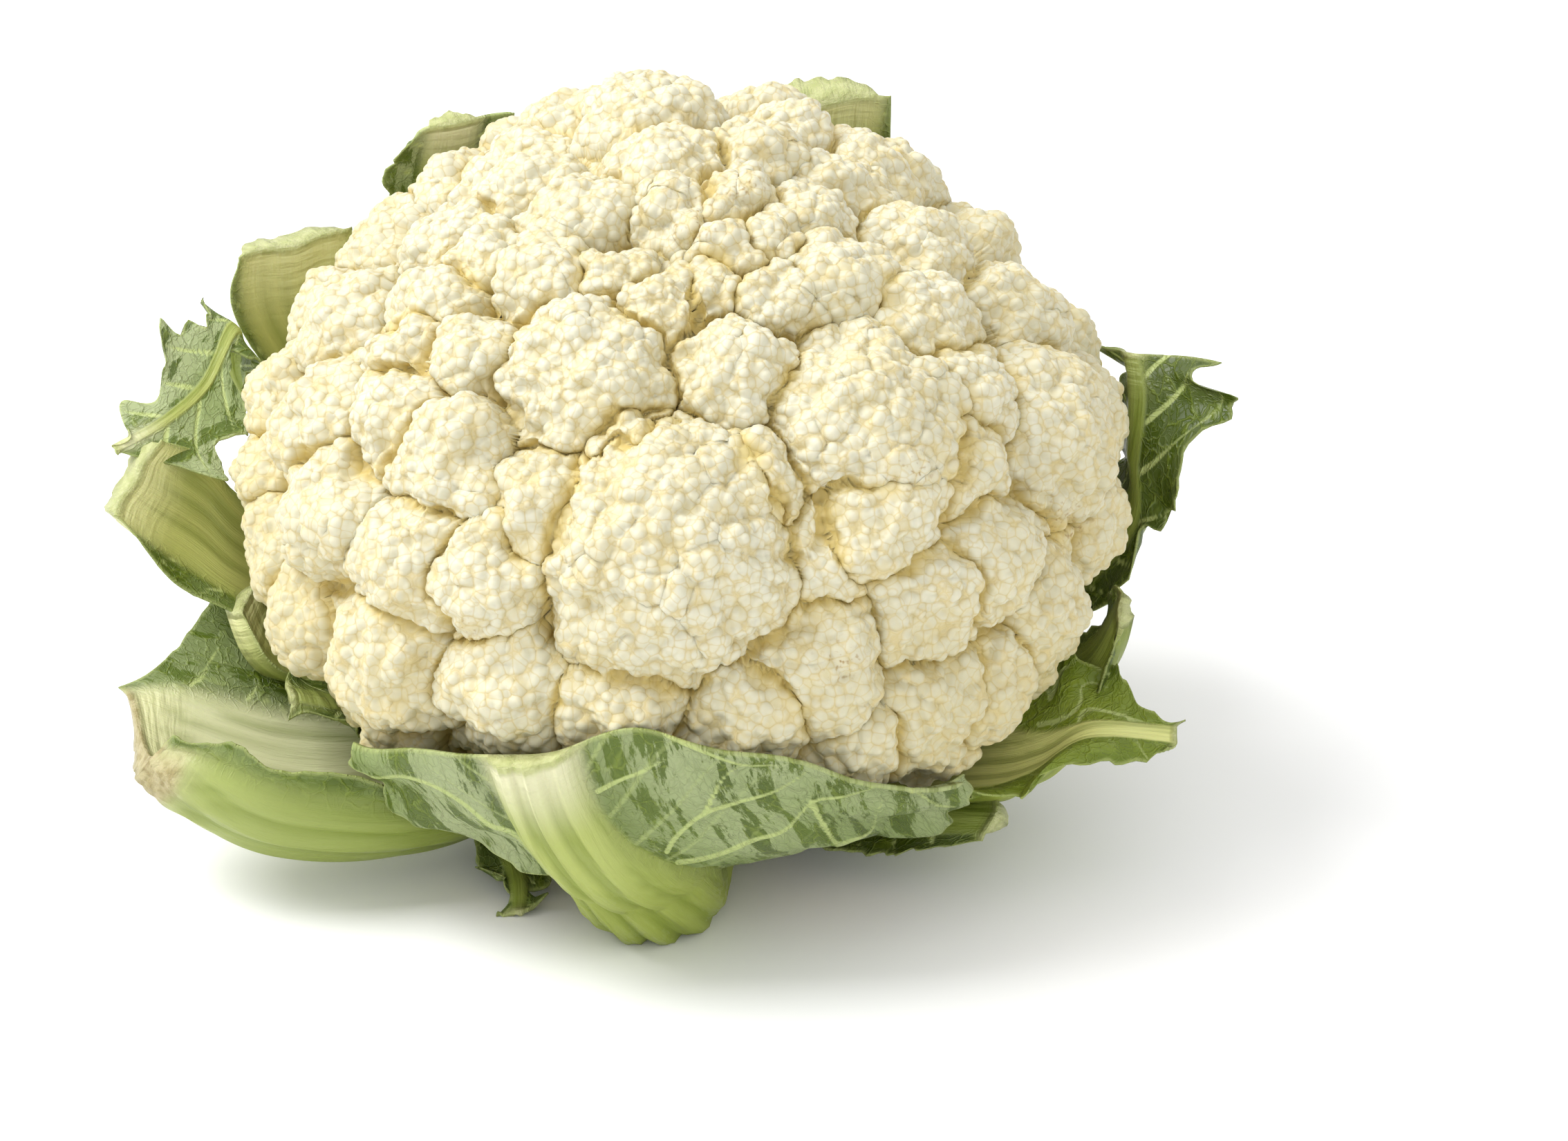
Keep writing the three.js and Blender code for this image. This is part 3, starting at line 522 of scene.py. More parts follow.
CURD_STEPS = 45  # of the coarse sphere, whose triangles are split in four twice
FLORET_GROOVE = (2.2, 1.8)  # depth of the crease between florets, and the gap in reach where it ends
KNOB_GROOVE = (0.22, 1.8)
WARP = 0.02  # of the directions, which makes the florets less round
CLUSTERS = {"spacing": (9, 13), "radius": (7, 9), "height": 0.15}
LOBES = {"spacing": (3.6, 5.4), "radius": (2.6, 3.4), "height": 0.12}
BEADS = {"spacing": (1.75, 2.6), "radius": (1.15, 1.6), "height": 0.38}
SINK = 0.8  # of the surface below the bumps' feet, so that the curd keeps its size
STAINS = [[2, 45, 5], [12, 51, 4], [43, -2, 4], [72, -12, 5], [30, -38, 4], [-41, -33, 3]]
SECTORS = 4


def curd_directions():
    """Directions of an even net over the dome, with wider spaces on the hidden underside."""
    sphere, triangles = geodesic(CURD_STEPS)
    angle = np.arccos(np.clip(sphere[:, 2], -1, 1))
    turn = np.arctan2(sphere[:, 1], sphere[:, 0])
    angle = angle * (0.82 + 0.18 * (angle / math.pi) ** 5)
    return head_direction(np.cos(angle), turn), triangles


def groove(gap, shape):
    depth, width = shape
    return depth * np.clip(1 - gap / width, 0, 1) ** 2


def warped(directions):
    """Directions shifted by the smooth random waves of the part's source, so that florets are less round."""
    random = random_from(23)
    count = 10
    finest = 28

    def vector():
        return 2 * (np.array([next(random), next(random), next(random)]) - 0.5)

    shift = np.zeros(directions.shape)
    for _ in range(count):
        wave = vector() * finest
        phase = next(random) * math.pi * 2
        sway = vector() * math.sqrt(3 / count)
        shift += np.sin(directions @ wave + phase)[:, None] * sway
    return unit(directions + WARP * shift)


def bump_height(points, triangles, bumps, random):
    """Height of round bumps that cover the surface side by side."""
    places = spaced_points(points, triangles, bumps["spacing"], random)
    size = random.uniform(*bumps["radius"], len(places))
    lift = random.uniform(-0.08, 0.08, len(places)) * size
    tree = KDTree(len(places))
    for k, place in enumerate(places):
        tree.insert(place, k)
    tree.balance()
    nearest = 3
    found = np.array([[(k, away) for _, k, away in tree.find_n(p, nearest)] for p in points.tolist()])
    index = found[:, :, 0].astype(int)
    share = found[:, :, 1] / size[index]
    height = bumps["height"] * size[index] * (1 - share**2) + lift[index]
    return np.maximum(height.max(1), -0.1 * bumps["radius"][0])


def settled(points, triangles, share, balls):
    """Points drawn evenly over the curd, with their directions and what furthest gives for them."""
    directions = unit(points + share * (neighbour_mean(points, triangles) - points))
    found = furthest(warped(directions), *balls)
    return directions * found[0][:, None], directions, *found


def curd_pieces():
    florets = floret_balls()
    knobs = knob_balls(florets)
    at = np.array([ball[1] for ball in florets] + [knob[0] for knob in knobs])
    radius = np.array([ball[2] for ball in florets] + [knob[1] for knob in knobs])
    family = np.array([*range(len(florets)), *(knob[2] for knob in knobs)])
    balls = at, radius, family

    directions, triangles = curd_directions()
    points = directions * furthest(warped(directions), *balls)[0][:, None]
    for _ in range(14):
        points = settled(points, triangles, 0.6, balls)[0]
    for _ in range(2):
        points, triangles = split_triangles(points, triangles)
    for _ in range(2):
        points, directions, reach, owner, floret_gap, ball_gap = settled(points, triangles, 0.5, balls)
    depth = groove(floret_gap, FLORET_GROOVE) + groove(ball_gap, KNOB_GROOVE)
    points = points - directions * depth[:, None]
    normals = point_normals(points, triangles)
    for _ in range(3):
        normals = unit(neighbour_mean(normals, triangles) + normals)

    random = np.random.default_rng(5)
    clusters = bump_height(points, triangles, CLUSTERS, random)
    lobes = bump_height(points, triangles, LOBES, random)
    beads = bump_height(points, triangles, BEADS, random)
    world = points + normals * (clusters - SINK + lobes + beads)[:, None] + CENTRE

    # How deep each place lies between florets, below the smoothed surface, and low on the head, where shade
    # is painted into the curd's colour.
    broad = points
    for _ in range(30):
        broad = neighbour_mean(broad, triangles)
    pit = ((broad - points) * normals).sum(1)
    between = np.clip(1 - floret_gap / 3.5, 0, 1) ** 2
    below = smooth_step(3, 10, dome_radius(directions) + FLORET_RISE - reach)
    stain = np.zeros(len(world))
    flat_place = on_sheet(world)
    for x, v, spread in STAINS:
        away = size_of(flat_place - (x, v)) / spread
        stain = np.maximum(stain, np.exp(-(away**2)) * (directions @ TOWARDS > 0))
    fields = {
        # Painted shade between the beads, and in the creases and pits.
        "shade_between_beads": 0.5 * smooth_step(0.25, -0.05, beads) + 0.5 * smooth_step(0.3, -0.1, lobes),
        "crease": np.clip(between * 0.9 + smooth_step(0.3, 1.8, pit) * 0.4 + below * 0.3, 0, 1),
        "stain": stain,
        # Yellower and darker low down: partly the curd's own yellowing, partly painted shade.
        "low": smooth_step(0.55, -0.35, directions @ AXIS),
    }

    # The curd is shown as four sectors of whole florets, which meet in the creases between them.
    world_normals = point_normals(world, triangles)
    first = triangles[:, 0]
    around = np.array([math.atan2(ball[0] @ BACK, ball[0] @ RIGHT) for ball in florets])
    own_turn = np.arctan2(directions[first] @ BACK, directions[first] @ RIGHT)
    sector_turn = np.where(owner[first] >= 0, around[family[owner[first]]], own_turn)
    sector = np.floor((sector_turn + math.pi) / (2 * math.pi / SECTORS)).astype(int) % SECTORS
    material = curd_material()
    for k in range(SECTORS):
        used, inverse = np.unique(triangles[sector == k], return_inverse=True)
        part = {field: values[used] for field, values in fields.items()}
        shape = world[used], inverse.reshape(-1, 3), part, world_normals[used]
        add_piece(f"curd_{k + 1}", "curd", "curd", material, *shape)


# The leaves. Each is a net of places, as in the part's source: rows from the root to the cut end, and in
# a row margin, rib, margin or margin, between, rib, between, margin.
MARGIN_CUTS = 2.4  # radians of the margins' cuts from one step along a leaf to the next
UNDULATION = 4.4  # radians of the blade's waves from one row to the next
ROUNDNESS = 0.08  # how far a leaf is bent out between its rib and margin, as a share of that width
RIB_SHARE = 0.9  # the most that a rib takes of the width from its middle to the margin
CLEARANCE = 1  # between a leaf's middle sheet and the curd
NECK = -0.6  # cosine of the angle from the crown beyond which the underside has no florets
TEETH = 2.6  # length along the margin for each radian of its fine teeth
VEIN_SPACING = 9.0
RIDGES = [[0.7, 1.3, 1.5, 5], [0.3, 3.9, 2, 6]]  # along a rib: height, radians to the millimetre, sway, seed
LEAST_HEIGHT = 0.05  # of a leaf above the table
LEAVES = {}


def add_leaf(name, look, steps, half, thick, *rows, **more):
    """Notes a leaf: half and thick are its rib's half width and thickness from the root to the cut end."""
    leaf = {"look": look, "steps": steps, "half": half, "thick": thick, "rows": rows}
    leaf.update(wave=0.5, ragged=0, bleach=14, torn=0, fine_face="outer", crests=[], veins=[])
    LEAVES[name] = {**leaf, **more}


add_leaf(
    "leaf_front", "waxy", (210, 30, 92), [10, 12, 14, 14, 11, 9, 8, 8], [7, 8, 9, 10, 9, 7, 6, 5],
    [[-9, -54, -34], [0, -55, -33], [9, -54, -34]],
    [[-13, -60, -17], [-6, -62, -14], [1, -63, -13], [8, -62, -14], [14, -60, -17]],
    [[-17, -70, 2], [-9, -73, 5], [-2, -74, 6], [6, -73, 5], [13, -69, 2]],
    [[-20, -79, 17], [-13, -81, 21], [-5, -81, 22], [3, -79, 20], [9, -75, 14]],
    [[-29, -77, 27], [-21, -76, 34], [-13, -74, 38], [4, -70, 40], [28, -69, 30]],
    [[-47, -70, 22], [-35, -68, 37], [-19, -67, 46], [14, -65, 50], [50, -70, 24]],
    [[-60, -62, 24], [-44, -60, 42], [-24, -60, 53], [14, -60, 57], [55, -63, 26]],
    [[-62, -52, 30], [-47, -53, 46], [-27, -53, 58], [12, -52, 60], [51, -56, 30]],
    wave=1.2, ragged=3, crests=[[17, 10, 4.5], [-24, 10, 2], [45, 8, 1.5]],
    veins=[
        [
            [-25, -77], [-31, -70], [-36, -68], [-41, -64], [-46, -61], [-52, -59], [-58, -59], [-62, -57],
            [-63, -54],
        ],
        [[-3, -73], [-1, -70], [4, -66], [10, -64], [17, -62], [22, -59], [25, -56]],
        [[4, -66], [6, -62], [8, -59], [11, -57]],
        [[-1, -75], [5, -74], [13, -71], [19, -69], [24, -64], [30, -63], [35, -61], [37, -59]],
        [[-16, -62], [-12, -60], [-7, -58], [-3, -56]],
        [[-5, -50], [-2, -52], [5, -55], [11, -57], [17, -57]],
        [[24, -64], [28, -71], [31, -71], [35, -69], [37, -63]],
        [[36, -59], [41, -60], [46, -64], [51, -65]],
    ],
)
add_leaf(
    "leaf_left_low", "dry", (110, 40, 30), [9, 14, 18, 19, 17, 12], [7, 8, 8, 8, 7, 5],
    [[-22, -44, -36], [-20, -46, -34], [-14, -50, -33], [-10, -52, -32], [-6, -53, -32]],
    [[-50, -28, -32], [-38, -45, -24], [-34, -58, -14], [-30, -61, -8], [-24, -60, -2]],
    [[-70, -14, -26], [-58, -46, -10], [-55, -64, 2], [-52, -67, 11], [-46, -62, 20]],
    [[-84, -17, -16], [-76, -47, -2], [-76, -64, 9], [-75, -66, 20], [-72, -58, 28]],
    [[-94, -34, -6], [-93, -45, 2], [-93, -58, 11], [-91, -60, 20], [-87, -53, 27]],
    [[-106, -42, 0], [-104, -46, 4], [-102, -53, 10], [-100, -56, 16], [-96, -52, 22]],
    wave=0.8, ragged=1, torn=9,
    veins=[
        [[-85, -48], [-85, -46], [-82, -45], [-80, -42], [-79, -40], [-76, -39]],
        [[-92, -46], [-93, -43], [-90, -40], [-88, -36], [-86, -30]],
        [[-82, -48], [-79, -46], [-76, -45], [-73, -44]],
    ],
)
add_leaf(
    "leaf_left", "stub", (60, 24, 12), [7, 9, 10, 11, 10], [6, 7, 7, 7, 6],
    [[-24, -28, -38], [-24, -33, -36], [-22, -38, -33]],
    [[-54, -25, -36], [-52, -33, -34], [-50, -41, -26]],
    [[-80, -10, -16], [-80, -20, -14], [-79, -31, -4]],
    [[-89, 0, -8], [-91, -11, -9], [-94, -24, 1]],
    [[-98, 3.5, 0], [-103, -4, -1], [-107, -10.5, 6]],
)
add_leaf(
    "leaf_left_blade", "waxy", (120, 10, 34), [5, 5, 3, 1.8, 1.2, 1, 1], [5, 5, 3.5, 2.5, 2, 1.5, 1.2],
    [[-20, -20, -45], [-23, -24, -43], [-25, -29, -41]],
    [[-54, -6, -46], [-58, -13, -41], [-60, -21, -38]],
    [[-84, 22, -32], [-80, 14, -28], [-78, 6, -22]],
    [[-90, 30, -24], [-84, 25, -20], [-80, 18, -16]],
    [[-97, 27, -16], [-90, 14, -12], [-82, 4, -8]],
    [[-103, 14, -10], [-98, 7, -6], [-85, -5, -2]],
    [[-108, 3, -4], [-107, 2, -3], [-104, 0, -1]],
    wave=2, ragged=4, fine_face="inner",
)
add_leaf(
    "leaf_upper_left", "stub", (70, 20, 12), [7, 9, 11, 11], [6, 7, 7, 7],
    [[-22, -25, -45], [-20, -22, -47], [-16, -19, -49]],
    [[-56, -6, -48], [-49, -2, -52], [-40, 4, -56]],
    [[-82, 22, -34], [-70, 24, -40], [-58, 27, -46]],
    [[-84, 38, -26], [-73, 40, -33], [-62, 43.5, -38]],
    bleach=20,
)
add_leaf(
    "leaf_back_left", "waxy", (80, 14, 24), [6, 8, 6, 5], [6, 6, 5, 4],
    [[-16, -18, -50], [-12, -16, -51], [-8, -14, -53]],
    [[-40, 6, -58], [-31, 12, -63], [-22, 15, -66]],
    [[-57, 42, -50], [-44, 42, -56], [-26, 46, -62]],
    [[-53, 60, -36], [-43, 63, -40], [-29, 64, -45]],
    wave=1.5, ragged=2,
)
add_leaf(
    "leaf_back_right", "stub", (70, 24, 12), [7, 10, 12, 12], [6, 7, 8, 8],
    [[2, -14, -54], [6, -13, -53], [11, -15, -52]],
    [[4, 13, -66], [15, 16, -68], [27, 12, -68]],
    [[9, 47, -62], [23, 49, -63], [38, 46, -66]],
    [[14, 64, -44], [26, 66.5, -47], [39, 68, -49]],
)
add_leaf(
    "leaf_back_far_right", "stub", (70, 20, 12), [6, 9, 10, 9], [6, 6, 6, 5],
    [[14, -17, -51], [18, -19, -49], [22, -22, -46]],
    [[36, 2, -64], [44, -4, -58], [51, -11, -51]],
    [[54, 26, -62], [64, 20, -55], [71, 13, -47]],
    [[56, 33, -57], [65, 25, -51], [71, 17, -45]],
)
add_leaf(
    "leaf_right", "dark", (120, 10, 34), [6, 6, 5, 3, 2.5, 2], [6, 6, 5, 4, 4, 3],
    [[26, -34, -34], [23, -30, -39], [20, -25, -43]],
    [[64, -36, -22], [60, -27, -31], [56, -16, -40]],
    [[84, -24, -8], [82, -12, -15], [78, 4, -30]],
    [[94, -8, 0], [84, 1, -12], [79, 10, -26]],
    [[104, 9, 2], [85, 12, -13], [79, 15, -24]],
    [[101, 18, -4], [84, 20, -16], [79, 21, -24]],
    wave=1.8, ragged=5, fine_face="inner",
)
add_leaf(
    "leaf_right_low", "dark", (80, 12, 16), [6, 7, 6, 4], [5, 6, 5, 3],
    [[23, -34, -38], [21, -38, -35], [20, -43, -32]],
    [[54, -36, -30], [54, -44, -22], [54, -51, -13]],
    [[73, -31, -14], [74, -40, -6], [76, -47, 2]],
    [[82, -22, -5], [82, -28, 0], [81, -35, 3]],
    wave=1, ragged=3, bleach=3,
)
add_leaf(
    "leaf_front_right", "light", (140, 24, 40), [7, 9, 9, 6, 3, 2], [6, 7, 6, 4, 2.5, 1.5],
    [[22, -40, -38], [20, -43, -36], [17, -46, -33], [14, -48, -31], [12, -50, -30]],
    [[46, -44, -26], [42, -52, -20], [37, -57, -12], [33, -60, -6], [30, -61, 0]],
    [[62, -36, -12], [60, -48, -4], [57, -58, 4], [53, -62, 12], [48, -63, 20]],
    [[72, -32, -6], [70, -44, 0], [67, -56, 9], [63, -61, 18], [58, -64, 26]],
    [[80, -36, 0], [79, -44, 2], [77, -51, 10], [74, -55, 16], [70, -62, 20]],
    [[93, -47, 4], [93, -49, 5], [93, -52, 7], [93, -54, 9], [92, -56, 11]],
    wave=1.8, ragged=3.6, bleach=0.1, fine_face="inner",
    veins=[
        [[69, -45], [70, -43], [71, -40], [74, -38], [75, -37]],
        [[69, -44], [68, -42], [67, -39], [67, -37], [69, -36], [72, -35], [75, -35], [78, -34]],
        [[67, -50], [71, -49], [74, -47], [75, -45], [75, -43], [77, -42], [80, -43]],
        [[72, -53], [74, -51], [75, -48], [77, -47], [82, -48], [84, -49], [86, -54], [88, -57]],
        [[84, -49], [88, -50], [92, -51], [93, -51]],
        [[62, -43], [64, -42], [67, -43], [69, -44]],
        [[65, -42], [65, -40], [65, -37]],
    ],
)
add_leaf(
    "leaf_front_low", "dark", (80, 12, 20), [5, 6, 5, 4], [5, 5, 5, 5],
    [[16, -49, -37], [12, -52, -34], [8, -54, -32]],
    [[33, -58, -18], [28, -62, -12], [20, -71, -2]],
    [[48, -62, 0], [45, -66, 5], [36, -75, 8]],
    [[59, -64, 10], [59, -67, 13], [54, -73, 12]],
    wave=0.8, ragged=2, bleach=3,
)
add_leaf(
    "leaf_under", "dark", (80, 8, 20), [4, 4, 3, 2, 1], [4, 4, 3, 2, 1],
    [[-13, -50, -36], [-11, -52, -35], [-9, -53, -34]],
    [[-30, -60, -16], [-24, -63, -14], [-18, -66, -10]],
    [[-42, -68, -2], [-32, -72, 2], [-22, -75, 4]],
    [[-38, -78, 8], [-31, -79, 10], [-24, -81, 10]],
    [[-35, -85, 14], [-31, -85.5, 15], [-26, -83, 14]],
    wave=1.5, ragged=3, bleach=3,
)
add_leaf(
    "leaf_inner_left", "dark", (80, 8, 20), [4, 4, 3, 2], [4, 4, 3, 2],
    [[-20, -36, -40], [-17, -39, -38], [-14, -42, -36]],
    [[-50, -40, -20], [-46, -48, -12], [-42, -54, -4]],
    [[-66, -38, -4], [-62, -46, 5], [-56, -51, 12]],
    [[-75, -39, 2], [-74, -44, 8], [-72, -50, 12]],
    wave=1.5, ragged=3, fine_face="inner",
)
add_leaf(
    "leaf_inner_stub", "stub", (60, 10, 8), [4, 5, 5, 5], [4, 5, 5, 5],
    [[-22, -33, -36], [-21, -35, -34], [-20, -37, -33]],
    [[-54, -36, -24], [-54, -40, -20], [-53, -44, -16]],
    [[-74, -33, -8], [-75, -37, -4], [-75, -40, 0]],
    [[-80, -23, -4], [-82, -26, -2], [-83, -29, 2]],
    wave=0.2,
)


def spline(values, shares):
    """A smooth curve through the items of an array, at shares of its length."""
    values = np.array(values, float)
    last = len(values) - 1
    i = np.minimum((shares * last).astype(int), last - 1)
    t = (shares * last - i).reshape((-1,) + (1,) * (values.ndim - 1))
    before, here, there, after = (values[np.clip(i + k, 0, last)] for k in (-1, 0, 1, 2))
    return (
        before * (-0.5 * t + t**2 - 0.5 * t**3)
        + here * (1 - 2.5 * t**2 + 1.5 * t**3)
        + there * (0.5 * t + 2 * t**2 - 1.5 * t**3)
        + after * (-0.5 * t**2 + 0.5 * t**3)
    )


def full_row(row):
    """A row of three places gets the two between them, set outwards so that the leaf is a little round."""
    places = seen(row)
    if len(places) == 5:
        return places
    middles = (places[:-1] + places[1:]) / 2
    outwards = ROUNDNESS * size_of(np.diff(places, axis=0))[:, None] * unit(middles - CENTRE)
    return np.insert(places, (1, 2), middles + outwards, 0)


def clear_of_curd(places):
    out = places - CENTRE
    distance = size_of(out)
    directions = out / distance[..., None]
    relief = np.where(directions @ AXIS > NECK, FLORET_RISE + KNOB_RISE, 0)
    nearest = dome_radius(directions) + relief + CLEARANCE
    return np.where((distance < nearest)[..., None], CENTRE + directions * nearest[..., None], places)


def run_length(places, axis):
    """The length from the first place along lines of places."""
    return np.insert(np.cumsum(size_of(np.diff(places, axis=axis)), axis), 0, 0, axis)


def grid_normals(grid):
    return unit(np.cross(np.gradient(grid, axis=0), np.gradient(grid, axis=1)))


def blurred(grid, rows, columns):
    """A grid averaged over this many rows and columns to each side."""
    for axis, reach in ((0, rows), (1, columns)):
        widths = [(0, 0)] * grid.ndim
        widths[axis] = (reach + 1, reach)
        total = np.cumsum(np.pad(grid, widths, mode="edge"), axis)
        window = 2 * reach + 1
        ends = np.arange(grid.shape[axis]) + window
        grid = (np.take(total, ends, axis) - np.take(total, ends - window, axis)) / window
    return grid


def line_distance(places, line):
    """Distance of sheet places from a smooth line, and the share of the line at the nearest point."""
    line = spline(line, np.linspace(0, 1, 6 * len(line)))
    best = np.full(places.shape[:-1], 1e9)
    share = np.zeros(places.shape[:-1])
    for k in range(len(line) - 1):
        a, b = line[k], line[k + 1]
        t = np.clip((places - a) @ (b - a) / max((b - a) @ (b - a), 1e-9), 0, 1)
        away = size_of(places - a - t[..., None] * (b - a))
        nearer = away < best
        best = np.where(nearer, away, best)
        share = np.where(nearer, (k + t) / (len(line) - 1), share)
    return best, share


def wavelets(x, seed):
    """A smooth random wave between -1 and 1."""
    random = np.random.default_rng(seed)
    count = 5
    rate = random.uniform(0.5, 2.0, count)
    phase = random.uniform(0, 2 * math.pi, count)
    return sum(np.sin(r * x + p) for r, p in zip(rate, phase)) / count


def two_faces(shape):
    """Triangles of a grid and of a face behind it with every second row and column, joined at the rim."""
    number = np.arange(math.prod(shape)).reshape(shape)
    coarse = number[::2, ::2]
    behind = number.size + np.arange(coarse.size).reshape(coarse.shape)
    triangles = []
    for face, order in ((number, 1), (behind, -1)):
        a, b, c, d = face[:-1, :-1], face[1:, :-1], face[1:, 1:], face[:-1, 1:]
        for corners in ((a, b, c), (a, c, d)):
            triangles.append(np.stack(corners[::order], -1).reshape(-1, 3))

    def rim(face):
        return np.concatenate([face[:-1, 0], face[-1, :-1], face[:0:-1, -1], face[0, :0:-1]])

    front, back = rim(number), rim(behind)
    here, middle, there = front[::2], front[1::2], np.roll(front[::2], -1)
    back_there = np.roll(back, -1)
    for corners in ((back, middle, here), (back, back_there, middle), (back_there, there, middle)):
        triangles.append(np.stack(corners, -1))
    return np.concatenate(triangles)


def on_faces(fine, coarse):
    """Values of the grid's places, and of every second row and column behind them."""
    width = fine.shape[2:]
    return np.concatenate([fine.reshape((-1,) + width), coarse[::2, ::2].reshape((-1,) + width)])


def leaf_sheet(leaf, seed):
    """The middle sheet of a leaf as a grid, and the measures of its places."""
    rows, ragged = leaf["rows"], leaf["ragged"]
    lengthwise, rib_columns, blade_columns = leaf["steps"]
    even = np.linspace(0, 1, lengthwise + 1)
    shares = even * (1.4 - 0.4 * even)
    net = spline([full_row(row) for row in rows], shares)
    fine_steps = 64
    fine = spline(net.transpose(1, 0, 2), np.linspace(0, 1, fine_steps + 1)).transpose(1, 0, 2)
    run = run_length(fine, 1)
    middle = run[:, fine_steps // 2]
    far = run[:, -1] - middle
    half = spline(leaf["half"], shares)
    low = np.minimum(half, middle * RIB_SHARE)
    high = np.minimum(half, far * RIB_SHARE)

    # The margins are cut as in the solid, and then finely toothed.
    along = 2 * len(rows) * shares
    length = run_length(net[:, 2], 0)
    toothed = 0.5 * ragged * smooth_step(0.25, 0.5, shares)
    teeth = np.abs(np.sin(length / TEETH + 2 * wavelets(length / 7, seed + 7))) + wavelets(length, seed)

    def margin(width, rib, phase):
        cut = ragged * (0.5 + 0.5 * np.sin(MARGIN_CUTS * along + phase))
        return np.maximum(width - cut - toothed * teeth, rib)

    low_margin = margin(middle, low, 0)[:, None]
    high_margin = margin(far, high, 2)[:, None]
    low, high = low[:, None], high[:, None]
    blade = np.linspace(0, 1, blade_columns + 1)[1:]
    rib = np.linspace(-1, 1, rib_columns + 1)
    below = -low - (low_margin - low) * blade[::-1]
    above = high + (high_margin - high) * blade
    offset = np.concatenate([below, np.where(rib < 0, low, high) * rib, above], 1)
    at = middle[:, None] + offset
    grid = [[np.interp(at[i], run[i], fine[i, :, axis]) for i in range(len(fine))] for axis in range(3)]
    grid = np.stack(grid, -1)
    out_share = np.concatenate([blade[::-1], np.zeros(rib_columns + 1), blade])[None, :]
    for place, width, lift in leaf["crests"]:
        crest = lift * np.exp(-(((offset[-1] - place) / width) ** 2))
        onwards = unit(grid[-1] - grid[-6]) * crest[:, None]
        grid = grid + smooth_step(0.8, 1, shares)[:, None, None] * onwards
    outwards = unit(grid - CENTRE)
    undulate = leaf["wave"] * np.sin(shares * len(rows) * UNDULATION)[:, None]
    grid = clear_of_curd(grid) + outwards * (out_share**1.5 * undulate * -np.sign(offset))[..., None]
    rib_edge = np.where(offset < 0, low, high)
    edge_distance = np.where(offset < 0, low_margin + offset, high_margin - offset)
    return grid, offset, shares[:, None], length[:, None], out_share, rib_edge, edge_distance


def vein_height(leaf, grid, offset, length, out_share, seed):
    """Side veins at an even spacing, and the given lines."""
    rise = (length - 0.9 * np.abs(offset)) / VEIN_SPACING + 0.25 * wavelets(offset / 9, seed + 3)
    away = np.abs(rise - np.round(rise)) * VEIN_SPACING * 0.7
    vein = smooth_step(0.9, 0.2, away / (1 - 0.5 * out_share)) * (1 - 0.6 * out_share)
    if leaf["veins"]:
        vein = 0.5 * vein
    sheet = on_sheet(grid)
    for line in leaf["veins"]:
        away, share = line_distance(sheet, line)
        width = 0.8 - 0.4 * share
        vein = np.maximum(vein, smooth_step(1.0, 0.25, away / width) * (1 - 0.5 * share))
    return vein


